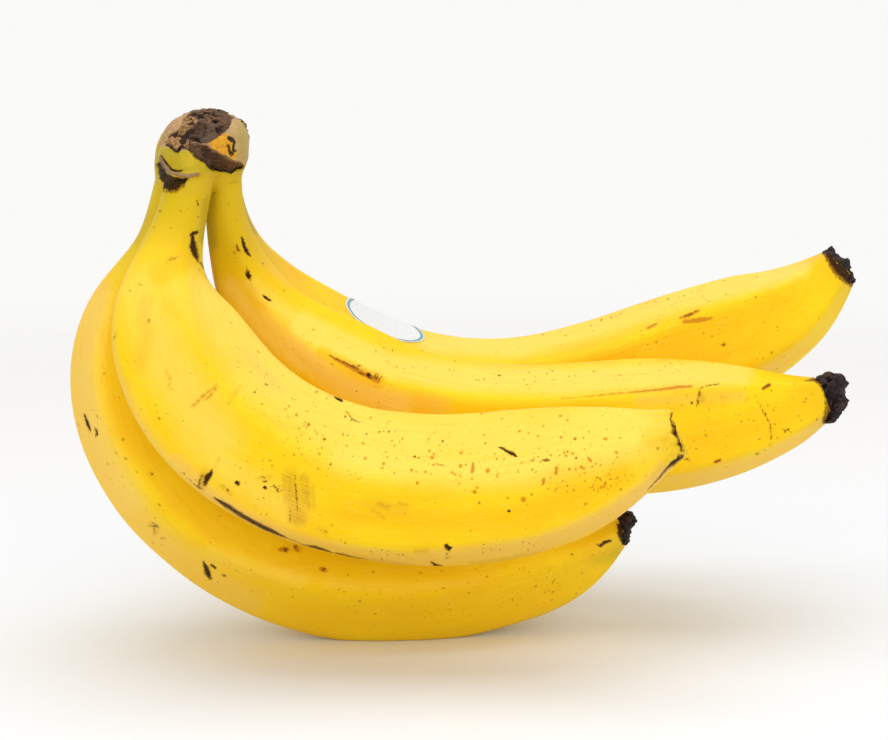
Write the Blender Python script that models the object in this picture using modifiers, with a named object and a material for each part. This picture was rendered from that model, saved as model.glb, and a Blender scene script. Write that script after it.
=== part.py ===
"""A hand of four bananas, joined at the crown and standing on the belly of the
lowest finger.  Metres, +Z up, +Y away from the viewer, +X towards the tips.

Each finger is a coarse ring cage, lofted along its own centre line with a
rounded five-sided section, and smoothed with a Subdivision Surface.  The crown
and the dried flower ends start as primitives that are shaped by a rule.
"""
import math

import bmesh
import bpy
import numpy as np
from mathutils import Matrix, Vector

MM = 0.001

# ---------------------------------------------------------------- dimensions
GAP = 0.3                    # clearance between neighbouring pieces, mm
REST_CUT = 1.0               # depth of the flattened spot that the hand rests on
NECK_TOP = 131.0             # where the four necks meet the crown
ORIGIN = (10.3, 38.1)        # middle of the hand, in the layout below

VIEWER = (0, -500, 153)      # the faces are angled from here, in the layout below

RIDGES = 5                   # a banana has five faces
RINGS = 23                   # cage rings along a finger

# Each finger's centre line from the crown to the tip, in mm, with the height
# above the lowest point of the belly and the half height of the finger there.
# ridge is the angle of the first ridge at the crown and at the tip: 0 faces
# the viewer and 90 faces the inside of the bend.  sharp is how crisp it is.
FINGERS = {
    "finger_front": dict(
        path=[(-66.5, 15, 136, 6.5), (-69.5, 13.5, 121.5, 6.7), (-72.5, 7.5, 107.5, 10.5),
              (-72, 3.5, 99, 14.7), (-68, 1, 87, 18.4), (-51, 0, 65.5, 20.1),
              (-25.5, 0, 53.5, 20), (4, -1.5, 51, 19.9), (32, -4.5, 56.5, 17.4),
              (44, -6, 61, 13.7), (59.5, -8, 67.5, 6.2)],
        ridge=(-46, -58), sharp=7.0),
    "finger_lower": dict(
        path=[(-70.5, 29, 136, 6.5), (-74, 30.5, 122.5, 6.7), (-77.5, 31.5, 111.5, 7.7),
              (-85, 34, 92.5, 14.1), (-84.5, 35.5, 71.5, 19.4), (-73, 36, 47.5, 20.6),
              (-45, 37, 26, 20.5), (-14, 39.5, 19.2, 20.4), (16, 43.5, 21.5, 18.6),
              (39.5, 47, 25.5, 12.1), (50.5, 49, 29, 4.9)],
        ridge=(-34, -18), sharp=7.5),
    "finger_middle": dict(
        path=[(-59.5, 24.3, 136.5, 5.0), (-59, 25.3, 121.5, 5.4), (-55.5, 31, 106, 8.3),
              (-50.5, 34, 95, 11.1), (-36, 37.5, 78.5, 17.1), (-9, 39.5, 64.5, 18.4),
              (33.5, 39.5, 60.2, 18.6), (56.5, 39.5, 61, 19.2), (84.5, 39.5, 63.5, 15.2),
              (95.5, 39.5, 65.5, 11.5), (106.5, 39.5, 69, 6.5)],
        ridge=(14, 46), sharp=9.0),
    "finger_back": dict(
        path=[(-62, 36.5, 136, 5.0), (-60, 38.5, 121.5, 5.3), (-52.5, 56, 100.5, 9.2),
              (-36.5, 73.5, 79.5, 16.4), (-7, 79.5, 65, 18.3), (31.5, 78.2, 64.5, 18.7),
              (71, 78, 76.5, 18.5), (95.5, 78, 86, 16.2), (106, 78, 92, 12.9),
              (118, 78, 103, 6.6)],
        ridge=(34, 46), sharp=9.0),
}

# Dried flower remains on three of the tips, mm: across and along the finger.
FLOWER_ENDS = {
    "flower_end_lower": ("finger_lower", 4.9, 4.5),
    "flower_end_middle": ("finger_middle", 6.2, 6.0),
    "flower_end_back": ("finger_back", 6.6, 3.6),
}

CROWN_CENTRE = (-66.0, 25.2, 138.5)
CROWN_HALF = (12.3, 15.6, 11.2)      # half length, half depth, half height
# Lumps on the crown: direction, height in mm, and how wide each spreads.
CROWN_LUMPS = [
    ((0.9, -0.1, 0.15), 0.9, 0.55), ((-0.2, -0.3, 0.95), 0.6, 0.50),
    ((-0.95, -0.25, -0.25), 0.9, 0.45), ((0.1, 0.95, 0.1), 0.6, 0.60),
    ((-0.55, -0.75, 0.05), -1.4, 0.45), ((0.45, -0.85, 0.10), 0.8, 0.40),
    ((-0.75, 0.0, 0.65), -4.5, 0.50),
]

LABEL = dict(finger="finger_back", along=0.364, angle=81.0, half_length=17.0,
             half_width=12.0, thick=0.3, lift=0.7)

COLOURS = {
    "finger_front": ((0.93, 0.66, 0.06, 1), 0.42),
    "finger_lower": ((0.88, 0.56, 0.03, 1), 0.42),
    "finger_middle": ((0.93, 0.64, 0.07, 1), 0.42),
    "finger_back": ((0.93, 0.66, 0.06, 1), 0.42),
    "crown": ((0.16, 0.09, 0.045, 1), 0.85),
    "flower_end_lower": ((0.018, 0.011, 0.010, 1), 0.80),
    "flower_end_middle": ((0.018, 0.011, 0.010, 1), 0.80),
    "flower_end_back": ((0.018, 0.011, 0.010, 1), 0.80),
    "label": ((0.86, 0.88, 0.87, 1), 0.35),
}


# ------------------------------------------------------------------ geometry
def smooth(x):
    x = np.clip(x, 0.0, 1.0)
    return x * x * (3.0 - 2.0 * x)


def spline(points, fractions):
    """Natural cubic spline through the points, sampled evenly by length."""
    p = np.asarray(points, float)
    t = np.r_[0.0, np.cumsum(np.linalg.norm(np.diff(p[:, :3], axis=0), axis=1))]
    n, h = len(p), np.diff(t)
    a, b = np.eye(n), np.zeros_like(p)
    for i in range(1, n - 1):
        a[i, i - 1:i + 2] = h[i - 1], 2 * (h[i - 1] + h[i]), h[i]
        b[i] = 6 * ((p[i + 1] - p[i]) / h[i] - (p[i] - p[i - 1]) / h[i - 1])
    m = np.linalg.solve(a, b)
    q = np.linspace(0, t[-1], 800)
    i = np.clip(np.searchsorted(t, q) - 1, 0, n - 2)
    u, w, hi = (t[i + 1] - q)[:, None], (q - t[i])[:, None], h[i][:, None]
    fine = ((m[i] * u ** 3 + m[i + 1] * w ** 3) / (6 * hi)
            + (p[i] / hi - m[i] * hi / 6) * u + (p[i + 1] / hi - m[i + 1] * hi / 6) * w)
    s = np.r_[0.0, np.cumsum(np.linalg.norm(np.diff(fine[:, :3], axis=0), axis=1))]
    want = np.asarray(fractions, float) * s[-1]
    return np.stack([np.interp(want, s, fine[:, k]) for k in range(4)], 1), s[-1]


def outline(theta, phase, sharp):
    """Distance to a rounded five-sided outline, with ridges at the phase."""
    total = np.zeros_like(theta)
    for k in range(RIDGES):
        face = phase + math.pi / RIDGES + k * 2 * math.pi / RIDGES
        total += np.maximum(0.0, np.cos(theta - face)) ** sharp
    return total ** (-1 / sharp)


def section(theta, phase, sharp):
    """Points on the outline, scaled and centred to a half height of 1."""
    ring = np.linspace(0, 2 * math.pi, 240, endpoint=False)
    height = outline(ring, phase, sharp) * np.sin(ring)
    scale = 2 / (height.max() - height.min())
    rho = outline(theta, phase, sharp) * scale
    return (rho * np.cos(theta),
            rho * np.sin(theta) - (height.max() + height.min()) * 0.5 * scale)


def frames(f, fractions):
    """Centre, tangent, viewer-side and inner-side directions, and radius."""
    c, _ = spline(f["path"], fractions)
    step = 0.004
    ahead, _ = spline(f["path"], np.clip(fractions + step, 0, 1))
    behind, _ = spline(f["path"], np.clip(fractions - step, 0, 1))
    tangent = (ahead - behind)[:, :3]
    tangent /= np.linalg.norm(tangent, axis=1)[:, None]
    e1 = np.array(VIEWER) - c[:, :3]
    e1 -= (e1 * tangent).sum(1)[:, None] * tangent
    e1 /= np.linalg.norm(e1, axis=1)[:, None]
    e2 = np.cross(e1, tangent)
    return c[:, :3], tangent, e1, e2, c[:, 3]


def surface(f, fractions, theta, lift=0.0):
    """Grid of points on the skin: one row for each fraction."""
    c, _, e1, e2, r = frames(f, fractions)
    rows = []
    for i, q in enumerate(fractions):
        phase = math.radians(f["ridge"][0] + (f["ridge"][1] - f["ridge"][0]) * q)
        soft = 3.5 + (f["sharp"] - 3.5) * float(smooth((q - 0.06) / 0.25))
        x, y = section(theta, phase, soft)
        grow = r[i] + lift
        rows.append(c[i] + grow * (x[:, None] * e1[i] + y[:, None] * e2[i]))
    return np.array(rows)


def to_world(p):
    return Vector(((p[0] - ORIGIN[0]) * MM, (p[1] - ORIGIN[1]) * MM,
                   (p[2] - REST_CUT) * MM))


# ------------------------------------------------------------------- objects
for old in list(bpy.data.objects):
    bpy.data.objects.remove(old, do_unlink=True)

bunch = bpy.data.collections.new("banana_hand")
cutters = bpy.data.collections.new("cutters")
bpy.context.scene.collection.children.link(bunch)
bpy.context.scene.collection.children.link(cutters)

holder = bpy.data.objects.new("banana_hand_origin", None)
bunch.objects.link(holder)


def add_object(name, bm, closed=True):
    mesh = bpy.data.meshes.new(name)
    bm.normal_update()
    if closed:
        bmesh.ops.recalc_face_normals(bm, faces=bm.faces)
    bm.to_mesh(mesh)
    bm.free()
    mesh.shade_smooth()
    colour, rough = COLOURS[name]
    material = bpy.data.materials.new(name)
    material.use_nodes = True
    shader = material.node_tree.nodes["Principled BSDF"]
    shader.inputs["Base Color"].default_value = colour
    shader.inputs["Roughness"].default_value = rough
    shader.inputs["Metallic"].default_value = 0.0
    mesh.materials.append(material)
    obj = bpy.data.objects.new(name, mesh)
    bunch.objects.link(obj)
    obj.parent = holder
    return obj


def add_cutter(name, low, high):
    """A box between two corners, in mm above the surface it rests on."""
    bm = bmesh.new()
    size = [(high[k] - low[k]) * MM for k in range(3)]
    middle = [(high[k] + low[k]) * 0.5 * MM for k in range(3)]
    bmesh.ops.create_cube(bm, size=1.0, matrix=Matrix.LocRotScale(
        Vector(middle), None, Vector(size)))
    mesh = bpy.data.meshes.new(name)
    bm.to_mesh(mesh)
    bm.free()
    obj = bpy.data.objects.new(name, mesh)
    obj.hide_render = True
    obj.display_type = "WIRE"
    cutters.objects.link(obj)
    return obj


def cut(obj, cutter):
    mod = obj.modifiers.new("cut_" + cutter.name, "BOOLEAN")
    mod.operation = "DIFFERENCE"
    mod.solver = "EXACT"
    mod.object = cutter


neck_cutter = add_cutter("above_necks", (-150, -100, NECK_TOP - REST_CUT), (150, 100, 220))
crown_cutter = add_cutter("below_crown", (-150, -100, 60), (150, 100, NECK_TOP - REST_CUT + GAP))
floor_cutter = add_cutter("below_belly", (-150, -100, -40), (150, 100, 0))


def add_finger(name):
    f = FINGERS[name]
    sides = 2 * RIDGES
    # rings lie closer together at the neck and at the tip
    q = np.linspace(0, 1, RINGS)
    q = q - 0.04 * np.sin(2 * math.pi * q)
    # smoothing takes two thirds of a cage point and a sixth of each neighbour,
    # round the ring and along the finger, so the cage is drawn out beforehand
    pull = math.cos(2 * math.pi / sides) / 3
    rows = []
    for t in q:
        turn = math.radians(f["ridge"][0] + (f["ridge"][1] - f["ridge"][0]) * t)
        theta = turn + np.arange(sides) * 2 * math.pi / sides
        row = surface(f, np.array([t]), theta)[0]
        middle = frames(f, np.array([t]))[0][0]
        arm = row - middle
        size = np.linalg.norm(arm, axis=1)
        beside = 0.5 * (np.roll(size, 1) + np.roll(size, -1))
        grown = (size * 2 / 3 - pull * beside) / ((2 / 3) ** 2 - pull ** 2)
        rows.append(middle + arm * (grown / size)[:, None])
    wanted = np.array(rows)
    rows = wanted.copy()
    for _ in range(6):
        rows[1:-1] = wanted[1:-1] - (rows[:-2] - 2 * rows[1:-1] + rows[2:]) / 6
    bm = bmesh.new()
    rings = [[bm.verts.new(to_world(p)) for p in row] for row in rows]
    for a, b in zip(rings, rings[1:]):
        for k in range(sides):
            j = (k + 1) % sides
            bm.faces.new((a[k], a[j], b[j], b[k]))
    ends = [bm.faces.new(rings[0][::-1]), bm.faces.new(rings[-1])]
    crease = bm.edges.layers.float.new("crease_edge")
    for face, sharp in zip(ends, (1.0, 0.8)):
        for edge in face.edges:
            edge[crease] = sharp
    obj = add_object(name, bm)
    sub = obj.modifiers.new("smooth_skin", "SUBSURF")
    sub.levels = sub.render_levels = 1
    cut(obj, neck_cutter)
    if name == "finger_lower":
        cut(obj, floor_cutter)
    return obj


def add_flower_end(name):
    """A knobbly dry plug that sits on the flat end of a finger."""
    finger, half, long = FLOWER_ENDS[name]
    f = FINGERS[finger]
    c, tangent, e1, e2, _ = frames(f, np.array([1.0]))
    c, tangent, e1, e2 = c[0], tangent[0], e1[0], e2[0]
    bm = bmesh.new()
    bmesh.ops.create_cone(bm, cap_ends=True, segments=14, radius1=1.0,
                          radius2=0.72, depth=1.0)
    bmesh.ops.subdivide_edges(
        bm, edges=[e for e in bm.edges if abs(e.verts[0].co.z - e.verts[1].co.z) > 0.5],
        cuts=3, use_grid_fill=True)
    for v in bm.verts:
        a, u = math.atan2(v.co.y, v.co.x), v.co.z + 0.5
        lump = 1.0 + 0.10 * math.sin(3 * a + 4 * u + len(name)) * (0.3 + u) \
            + 0.07 * math.sin(5 * a - 3 * u)
        across = half * lump * (1.0 + 0.12 * math.sin(math.pi * u))
        along = GAP + long * u * (1.0 + (0.14 * math.sin(2 * a + 1.0) if u > 0.9 else 0.0))
        rr = math.hypot(v.co.x, v.co.y)
        p = c + tangent * along + across * rr * (math.cos(a) * e1 + math.sin(a) * e2)
        v.co = to_world(p)
    return add_object(name, bm)


def add_crown():
    """The thick cushion where the necks grow together, cut on top."""
    bm = bmesh.new()
    bmesh.ops.create_uvsphere(bm, u_segments=22, v_segments=14, radius=1.0)
    for v in bm.verts:
        d = v.co.normalized()
        out = 0.0
        for direction, height, spread in CROWN_LUMPS:
            away = (d - Vector(direction).normalized()).length
            out += height * math.exp(-(away / spread) ** 2)
        out += 0.35 * math.sin(7 * d.x + 2) * math.sin(6 * d.y + 1) * math.sin(5 * d.z)
        # squarer than a ball: a cushion with a broad top
        box = (abs(d.x) ** 2.6 + abs(d.y) ** 2.6 + abs(d.z) ** 2.6) ** (-1 / 2.6)
        p = [CROWN_CENTRE[k] + d[k] * (CROWN_HALF[k] * box + out) for k in range(3)]
        v.co = to_world(p)
    obj = add_object("crown", bm)
    cut(obj, crown_cutter)
    return obj


def add_label():
    """A thin oval sticker that follows the skin of the back finger."""
    f = FINGERS[LABEL["finger"]]
    centre, length = spline(f["path"], np.array([LABEL["along"]]))
    r = float(centre[0, 3])
    bm = bmesh.new()
    bmesh.ops.create_circle(bm, cap_ends=True, cap_tris=False, segments=28, radius=1.0)
    for ring in range(5):
        inner = [fc for fc in bm.faces if len(fc.verts) > 4]
        bmesh.ops.inset_region(bm, faces=inner, thickness=0.16, use_boundary=True)
    inner = [fc for fc in bm.faces if len(fc.verts) > 4]
    bmesh.ops.poke(bm, faces=inner)
    for v in bm.verts:
        q = LABEL["along"] + v.co.x * LABEL["half_length"] / length
        theta = math.radians(LABEL["angle"]) + v.co.y * LABEL["half_width"] / r
        p = surface(f, np.array([q]), np.array([theta]), lift=LABEL["lift"])[0][0]
        v.co = to_world(p)
    bm.normal_update()
    if sum(face.normal.z for face in bm.faces) < 0:     # the sticker faces up
        bmesh.ops.reverse_faces(bm, faces=bm.faces)
    obj = add_object("label", bm, closed=False)
    solid = obj.modifiers.new("thickness", "SOLIDIFY")
    solid.thickness = LABEL["thick"] * MM
    solid.offset = 1.0
    return obj


for finger_name in FINGERS:
    add_finger(finger_name)
for end_name in FLOWER_ENDS:
    add_flower_end(end_name)
add_crown()
add_label()
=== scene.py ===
"""Looks of the banana hand: the skins with their scars and freckles, the bark of
the crown, the dried flower ends, the plain sticker, and the studio round them.

Positions on the skin are in the layout of the CAD part, in millimetres.
"""
import math

import bmesh
import bpy
import numpy as np
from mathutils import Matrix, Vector


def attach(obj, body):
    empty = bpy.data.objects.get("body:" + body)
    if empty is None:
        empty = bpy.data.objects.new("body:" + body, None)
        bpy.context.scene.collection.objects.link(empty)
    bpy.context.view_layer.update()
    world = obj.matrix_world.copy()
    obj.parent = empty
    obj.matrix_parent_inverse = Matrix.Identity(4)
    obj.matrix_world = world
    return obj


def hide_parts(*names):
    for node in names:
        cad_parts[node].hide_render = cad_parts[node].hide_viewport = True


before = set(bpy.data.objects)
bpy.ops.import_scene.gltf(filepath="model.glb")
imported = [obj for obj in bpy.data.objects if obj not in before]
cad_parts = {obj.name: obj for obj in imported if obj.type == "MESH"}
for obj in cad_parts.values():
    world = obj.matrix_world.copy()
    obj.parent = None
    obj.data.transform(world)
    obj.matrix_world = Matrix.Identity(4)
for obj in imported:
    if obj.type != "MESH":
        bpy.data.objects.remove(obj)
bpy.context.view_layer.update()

MM = 0.001
ORIGIN = (10.3, 38.1)
REST_CUT = 1.0
VIEWER = (0, -500, 153)

FINGERS = {
    "finger_front": dict(
        path=[(-66.5, 15, 136, 6.5), (-69.5, 13.5, 121.5, 6.7), (-72.5, 7.5, 107.5, 10.5),
              (-72, 3.5, 99, 14.7), (-68, 1, 87, 18.4), (-51, 0, 65.5, 20.1),
              (-25.5, 0, 53.5, 20), (4, -1.5, 51, 19.9), (32, -4.5, 56.5, 17.4),
              (44, -6, 61, 13.7), (59.5, -8, 67.5, 6.2)],
        ridges=[(0.0, (-46, 24, 98)), (0.3, (-54, 16, 92)), (0.45, (-54, 13, 91)),
                (0.6, (-51, 11, 90)), (0.73, (-45, 13, 88)), (0.88, (-47, 12, 87)),
                (1.0, (-49, 12, 86))],
        sharp=11.0),
    "finger_lower": dict(
        path=[(-70.5, 29, 136, 6.5), (-74, 30.5, 122.5, 6.7), (-77.5, 31.5, 111.5, 7.7),
              (-85, 34, 92.5, 14.1), (-84.5, 35.5, 71.5, 19.4), (-73, 36, 47.5, 20.6),
              (-45, 37, 26, 20.5), (-14, 39.5, 19.2, 20.4), (16, 43.5, 21.5, 18.6),
              (39.5, 47, 25.5, 12.1), (50.5, 49, 29, 4.9)],
        ridges=[(0.0, (-34, 38, 110)), (0.26, (-34, 40, 112)), (0.35, (-29, 43, 115)),
                (0.45, (-28, 44, 116)), (0.55, (-22, 48, 118)), (0.66, (-16, 54, 122)),
                (0.80, (-15, 56, 124)), (1.0, (-9, 60, 128))],
        sharp=12.0),
    "finger_middle": dict(
        path=[(-59.5, 24.3, 136.5, 5.0), (-59, 25.3, 121.5, 5.4), (-55.5, 31, 106, 8.3),
              (-50.5, 34, 95, 11.1), (-36, 37.5, 78.5, 17.1), (-9, 39.5, 64.5, 18.4),
              (33.5, 39.5, 60.2, 18.6), (56.5, 39.5, 61, 19.2), (84.5, 39.5, 63.5, 15.2),
              (95.5, 39.5, 65.5, 11.5), (106.5, 39.5, 69, 6.5)],
        ridges=[(0.0, (12, 86, 158)), (0.3, (17, 90, 161)), (0.42, (22.5, 95, 167)),
                (0.5, (26, 99, 171)), (0.7, (27, 103, 177)), (0.8, (31.5, 106, 180)),
                (0.95, (37, 111, 183)), (1.0, (39, 112, 184))],
        sharp=16.0),
    "finger_back": dict(
        path=[(-62, 36.5, 136, 5.0), (-60, 38.5, 121.5, 5.3), (-52.5, 56, 100.5, 9.2),
              (-36.5, 73.5, 79.5, 16.4), (-7, 79.5, 65, 18.3), (31.5, 78.2, 64.5, 18.7),
              (71, 78, 76.5, 18.5), (95.5, 78, 86, 16.2), (106, 78, 92, 12.9),
              (118, 78, 103, 6.6)],
        ridges=[(0.0, (34, 106, 178)), (0.45, (34.5, 109, 182)), (0.56, (33, 109, 183)),
                (0.65, (30.5, 107, 183)), (0.74, (30.5, 107, 183)), (0.8, (33.5, 109, 184)),
                (0.92, (33, 110, 185)), (0.97, (39, 113, 187)), (1.0, (43, 116, 189))],
        sharp=15.0),
}
LABEL = dict(finger="finger_back", along=0.364, angle=81.0, half_length=17.0,
             half_width=12.0)

# ------------------------------------------------------------ the viewpoint
# The eye in the layout, how far it looks down, and its focal length in the
# units of the 888 x 740 frame.  Marks are listed where they show in that frame.
EYE = np.array([0.0, -500.0, 152.989])
DOWN = math.radians(8.0)
FOCAL = 1940.0
MIDDLE = (444.0, 370.0)
AHEAD = np.array([0.0, math.cos(DOWN), -math.sin(DOWN)])
UP = np.array([0.0, math.sin(DOWN), math.cos(DOWN)])


def seen(p):
    """Where points of the layout appear in the frame."""
    d = p - EYE
    deep = d @ AHEAD
    return np.stack([MIDDLE[0] + FOCAL * d[..., 0] / deep,
                     MIDDLE[1] - FOCAL * (d @ UP) / deep], -1)


def at(u, v, y):
    """The point of the layout at depth y that appears at u, v."""
    d = AHEAD + (u - MIDDLE[0]) / FOCAL * np.array([1.0, 0, 0]) + (MIDDLE[1] - v) / FOCAL * UP
    return EYE + d * (y - EYE[1]) / d[1]


# -------------------------------------------------------------------- maths
def smooth(x):
    x = np.clip(x, 0.0, 1.0)
    return x * x * (3.0 - 2.0 * x)


def hashed(i, j, k, seed):
    h = (i * 374761393 + j * 668265263 + k * 1103515245 + seed * 974634777) & 0xFFFFFFFF
    h = ((h ^ (h >> 13)) * 1274126177) & 0xFFFFFFFF
    h = ((h ^ (h >> 15)) * 668265263) & 0xFFFFFFFF
    return (h ^ (h >> 16)) / 0x7FFFFFFF - 1.0


def noise(p, size, seed):
    """Smooth noise from -1 to 1 that changes over a length of size."""
    q = np.asarray(p, float) / size + 31.7 * seed
    i = np.floor(q).astype(np.int64)
    f = q - i
    f = f * f * f * (f * (f * 6 - 15) + 10)
    out = 0.0
    for a in (0, 1):
        for b in (0, 1):
            for c in (0, 1):
                w = ((f[..., 0] if a else 1 - f[..., 0]) * (f[..., 1] if b else 1 - f[..., 1])
                     * (f[..., 2] if c else 1 - f[..., 2]))
                out = out + w * hashed(i[..., 0] + a, i[..., 1] + b, i[..., 2] + c, seed)
    return out


def spline(points, fractions):
    """Natural cubic spline through the points, sampled evenly by length."""
    p = np.asarray(points, float)
    t = np.r_[0.0, np.cumsum(np.linalg.norm(np.diff(p[:, :3], axis=0), axis=1))]
    n, h = len(p), np.diff(t)
    a, b = np.eye(n), np.zeros_like(p)
    for i in range(1, n - 1):
        a[i, i - 1:i + 2] = h[i - 1], 2 * (h[i - 1] + h[i]), h[i]
        b[i] = 6 * ((p[i + 1] - p[i]) / h[i] - (p[i] - p[i - 1]) / h[i - 1])
    m = np.linalg.solve(a, b)
    q = np.linspace(0, t[-1], 800)
    i = np.clip(np.searchsorted(t, q) - 1, 0, n - 2)
    u, w, hi = (t[i + 1] - q)[:, None], (q - t[i])[:, None], h[i][:, None]
    fine = ((m[i] * u ** 3 + m[i + 1] * w ** 3) / (6 * hi)
            + (p[i] / hi - m[i] * hi / 6) * u + (p[i + 1] / hi - m[i + 1] * hi / 6) * w)
    s = np.r_[0.0, np.cumsum(np.linalg.norm(np.diff(fine[:, :3], axis=0), axis=1))]
    want = np.asarray(fractions, float) * s[-1]
    return np.stack([np.interp(want, s, fine[:, k]) for k in range(4)], 1), s[-1]


def faces_of(f, q):
    """Directions of the five faces, from where the ridges between them lie."""
    table = f["ridges"]
    at_q = [t[0] for t in table]
    near = [float(np.interp(q, at_q, [t[1][k] for t in table])) for k in range(3)]
    rest = 360.0 + near[0] - near[2]
    r = near + [near[2] + rest / 3, near[2] + rest * 2 / 3]
    first = r[4] - r[3] + r[2] - r[1] + r[0] - 180.0
    faces = [first]
    for k in range(4):
        faces.append(2 * r[k] - faces[-1])
    return np.radians(faces)


def outline(theta, faces, sharp):
    """Distance to a rounded five-sided outline."""
    total = np.zeros_like(theta)
    for face in faces:
        total += np.maximum(0.0, np.cos(theta - face)) ** sharp
    return total ** (-1 / sharp)


def section(theta, faces, sharp):
    """Points on the outline, scaled and centred to a half height of 1."""
    ring = np.linspace(0, 2 * math.pi, 240, endpoint=False)
    height = outline(ring, faces, sharp) * np.sin(ring)
    scale = 2 / (height.max() - height.min())
    rho = outline(theta, faces, sharp) * scale
    return (rho * np.cos(theta),
            rho * np.sin(theta) - (height.max() + height.min()) * 0.5 * scale)


def frames(f, fractions):
    """Centre, tangent, viewer-side and inner-side directions, and radius."""
    c, _ = spline(f["path"], fractions)
    step = 0.004
    ahead, _ = spline(f["path"], np.clip(fractions + step, 0, 1))
    behind, _ = spline(f["path"], np.clip(fractions - step, 0, 1))
    tangent = (ahead - behind)[:, :3]
    tangent /= np.linalg.norm(tangent, axis=1)[:, None]
    e1 = np.array(VIEWER) - c[:, :3]
    e1 -= (e1 * tangent).sum(1)[:, None] * tangent
    e1 /= np.linalg.norm(e1, axis=1)[:, None]
    e2 = np.cross(e1, tangent)
    return c[:, :3], tangent, e1, e2, c[:, 3]


def ripple(straight, seed):
    """The skin isn't perfect: low swells, and ribs that run along the finger."""
    swell = 0.30 * noise(straight, 34.0, seed) + 0.13 * noise(straight, 11.0, seed + 1)
    ribs = 0.07 * noise(straight * (0.10, 1, 1), 2.6, seed + 2)
    return swell + ribs


def skin(f, fractions, theta, lift=0.0, seed=0):
    """Points on the skin and their places in the straightened finger, in mm."""
    c, _, e1, e2, r = frames(f, fractions)
    length = spline(f["path"], [0.0])[1]
    places, straight = [], []
    for i, q in enumerate(fractions):
        soft = 3.5 + (f["sharp"] - 3.5) * float(smooth((q - 0.06) / 0.25))
        x, y = section(theta, faces_of(f, q), soft)
        at_s = np.stack([np.full_like(x, q * length), r[i] * x, r[i] * y], 1)
        fade = float(smooth((q - 0.07) / 0.08))
        grow = r[i] + lift + fade * ripple(at_s, seed)
        places.append(c[i] + grow[:, None] * (x[:, None] * e1[i] + y[:, None] * e2[i]))
        straight.append(at_s)
    return np.array(places), np.array(straight)


# ------------------------------------------------------------------- meshes
def to_world(p):
    return (np.asarray(p) - (ORIGIN[0], ORIGIN[1], REST_CUT)) * MM


def make_object(name, places, faces, material):
    """A mesh object from points of the layout, facing outwards."""
    mesh = bpy.data.meshes.new(name)
    mesh.from_pydata(to_world(places).tolist(), [], [list(f) for f in faces])
    bm = bmesh.new()
    bm.from_mesh(mesh)
    bm.normal_update()
    if bm.calc_volume(signed=True) < 0:
        bmesh.ops.reverse_faces(bm, faces=bm.faces)
    bm.to_mesh(mesh)
    bm.free()
    mesh.shade_smooth()
    mesh.materials.append(material)
    obj = bpy.data.objects.new(name, mesh)
    bpy.context.scene.collection.objects.link(obj)
    return obj


def carry(mesh, name, values):
    """Stores a value for each point: a vector of 3 numbers, or a colour of 4."""
    kind = {3: "FLOAT_VECTOR", 4: "FLOAT_COLOR"}[values.shape[1]]
    layer = mesh.attributes.new(name, kind, "POINT")
    layer.data.foreach_set("vector" if kind == "FLOAT_VECTOR" else "color",
                           np.ascontiguousarray(values, np.float32).ravel())


def tube(rows, cols):
    i, j = np.meshgrid(np.arange(rows - 1), np.arange(cols), indexing="ij")
    k = (j + 1) % cols
    return np.stack([i * cols + j, i * cols + k, (i + 1) * cols + k, (i + 1) * cols + j],
                    -1).reshape(-1, 4)


# ------------------------------------------------------- marks on the skins
def from_line(uv, points):
    """Distance in the frame from many places to a broken line."""
    return line_field(uv, [(*p[:2], 0.0) for p in points])[0]


def line_field(uv, points):
    """Distance to a broken line, and half the line's own width at the place
    that is deepest inside it."""
    p = np.asarray(points, float)
    if len(p) == 1:
        return np.linalg.norm(uv - p[0, :2], axis=1), np.full(len(uv), p[0, 2] / 2)
    best, half = np.full(len(uv), 1e9), np.zeros(len(uv))
    for a, b in zip(p, p[1:]):
        ab = b[:2] - a[:2]
        t = np.clip(((uv - a[:2]) @ ab) / max(ab @ ab, 1e-9), 0, 1)
        d = np.linalg.norm(uv - a[:2] - t[:, None] * ab, axis=1)
        w = (a[2] + (b[2] - a[2]) * t) / 2
        closer = d - w < best - half
        best, half = np.where(closer, d, best), np.where(closer, w, half)
    return best, half


def stroke(uv, facing, points, spread=2.0):
    """0.5 at the edge of a mark, more inside it and less outside."""
    d, half = line_field(uv, points)
    return np.clip(0.5 + (half - d) / (2 * np.maximum(half, spread)), 0, 1) * facing


def wash(uv, facing, points, width):
    """A soft area round a broken line: 1 in the middle, 0 outside."""
    return smooth(1 - from_line(uv, points) / width) * facing


BLACK, BROWN, ORANGE, TAN = range(4)
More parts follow.
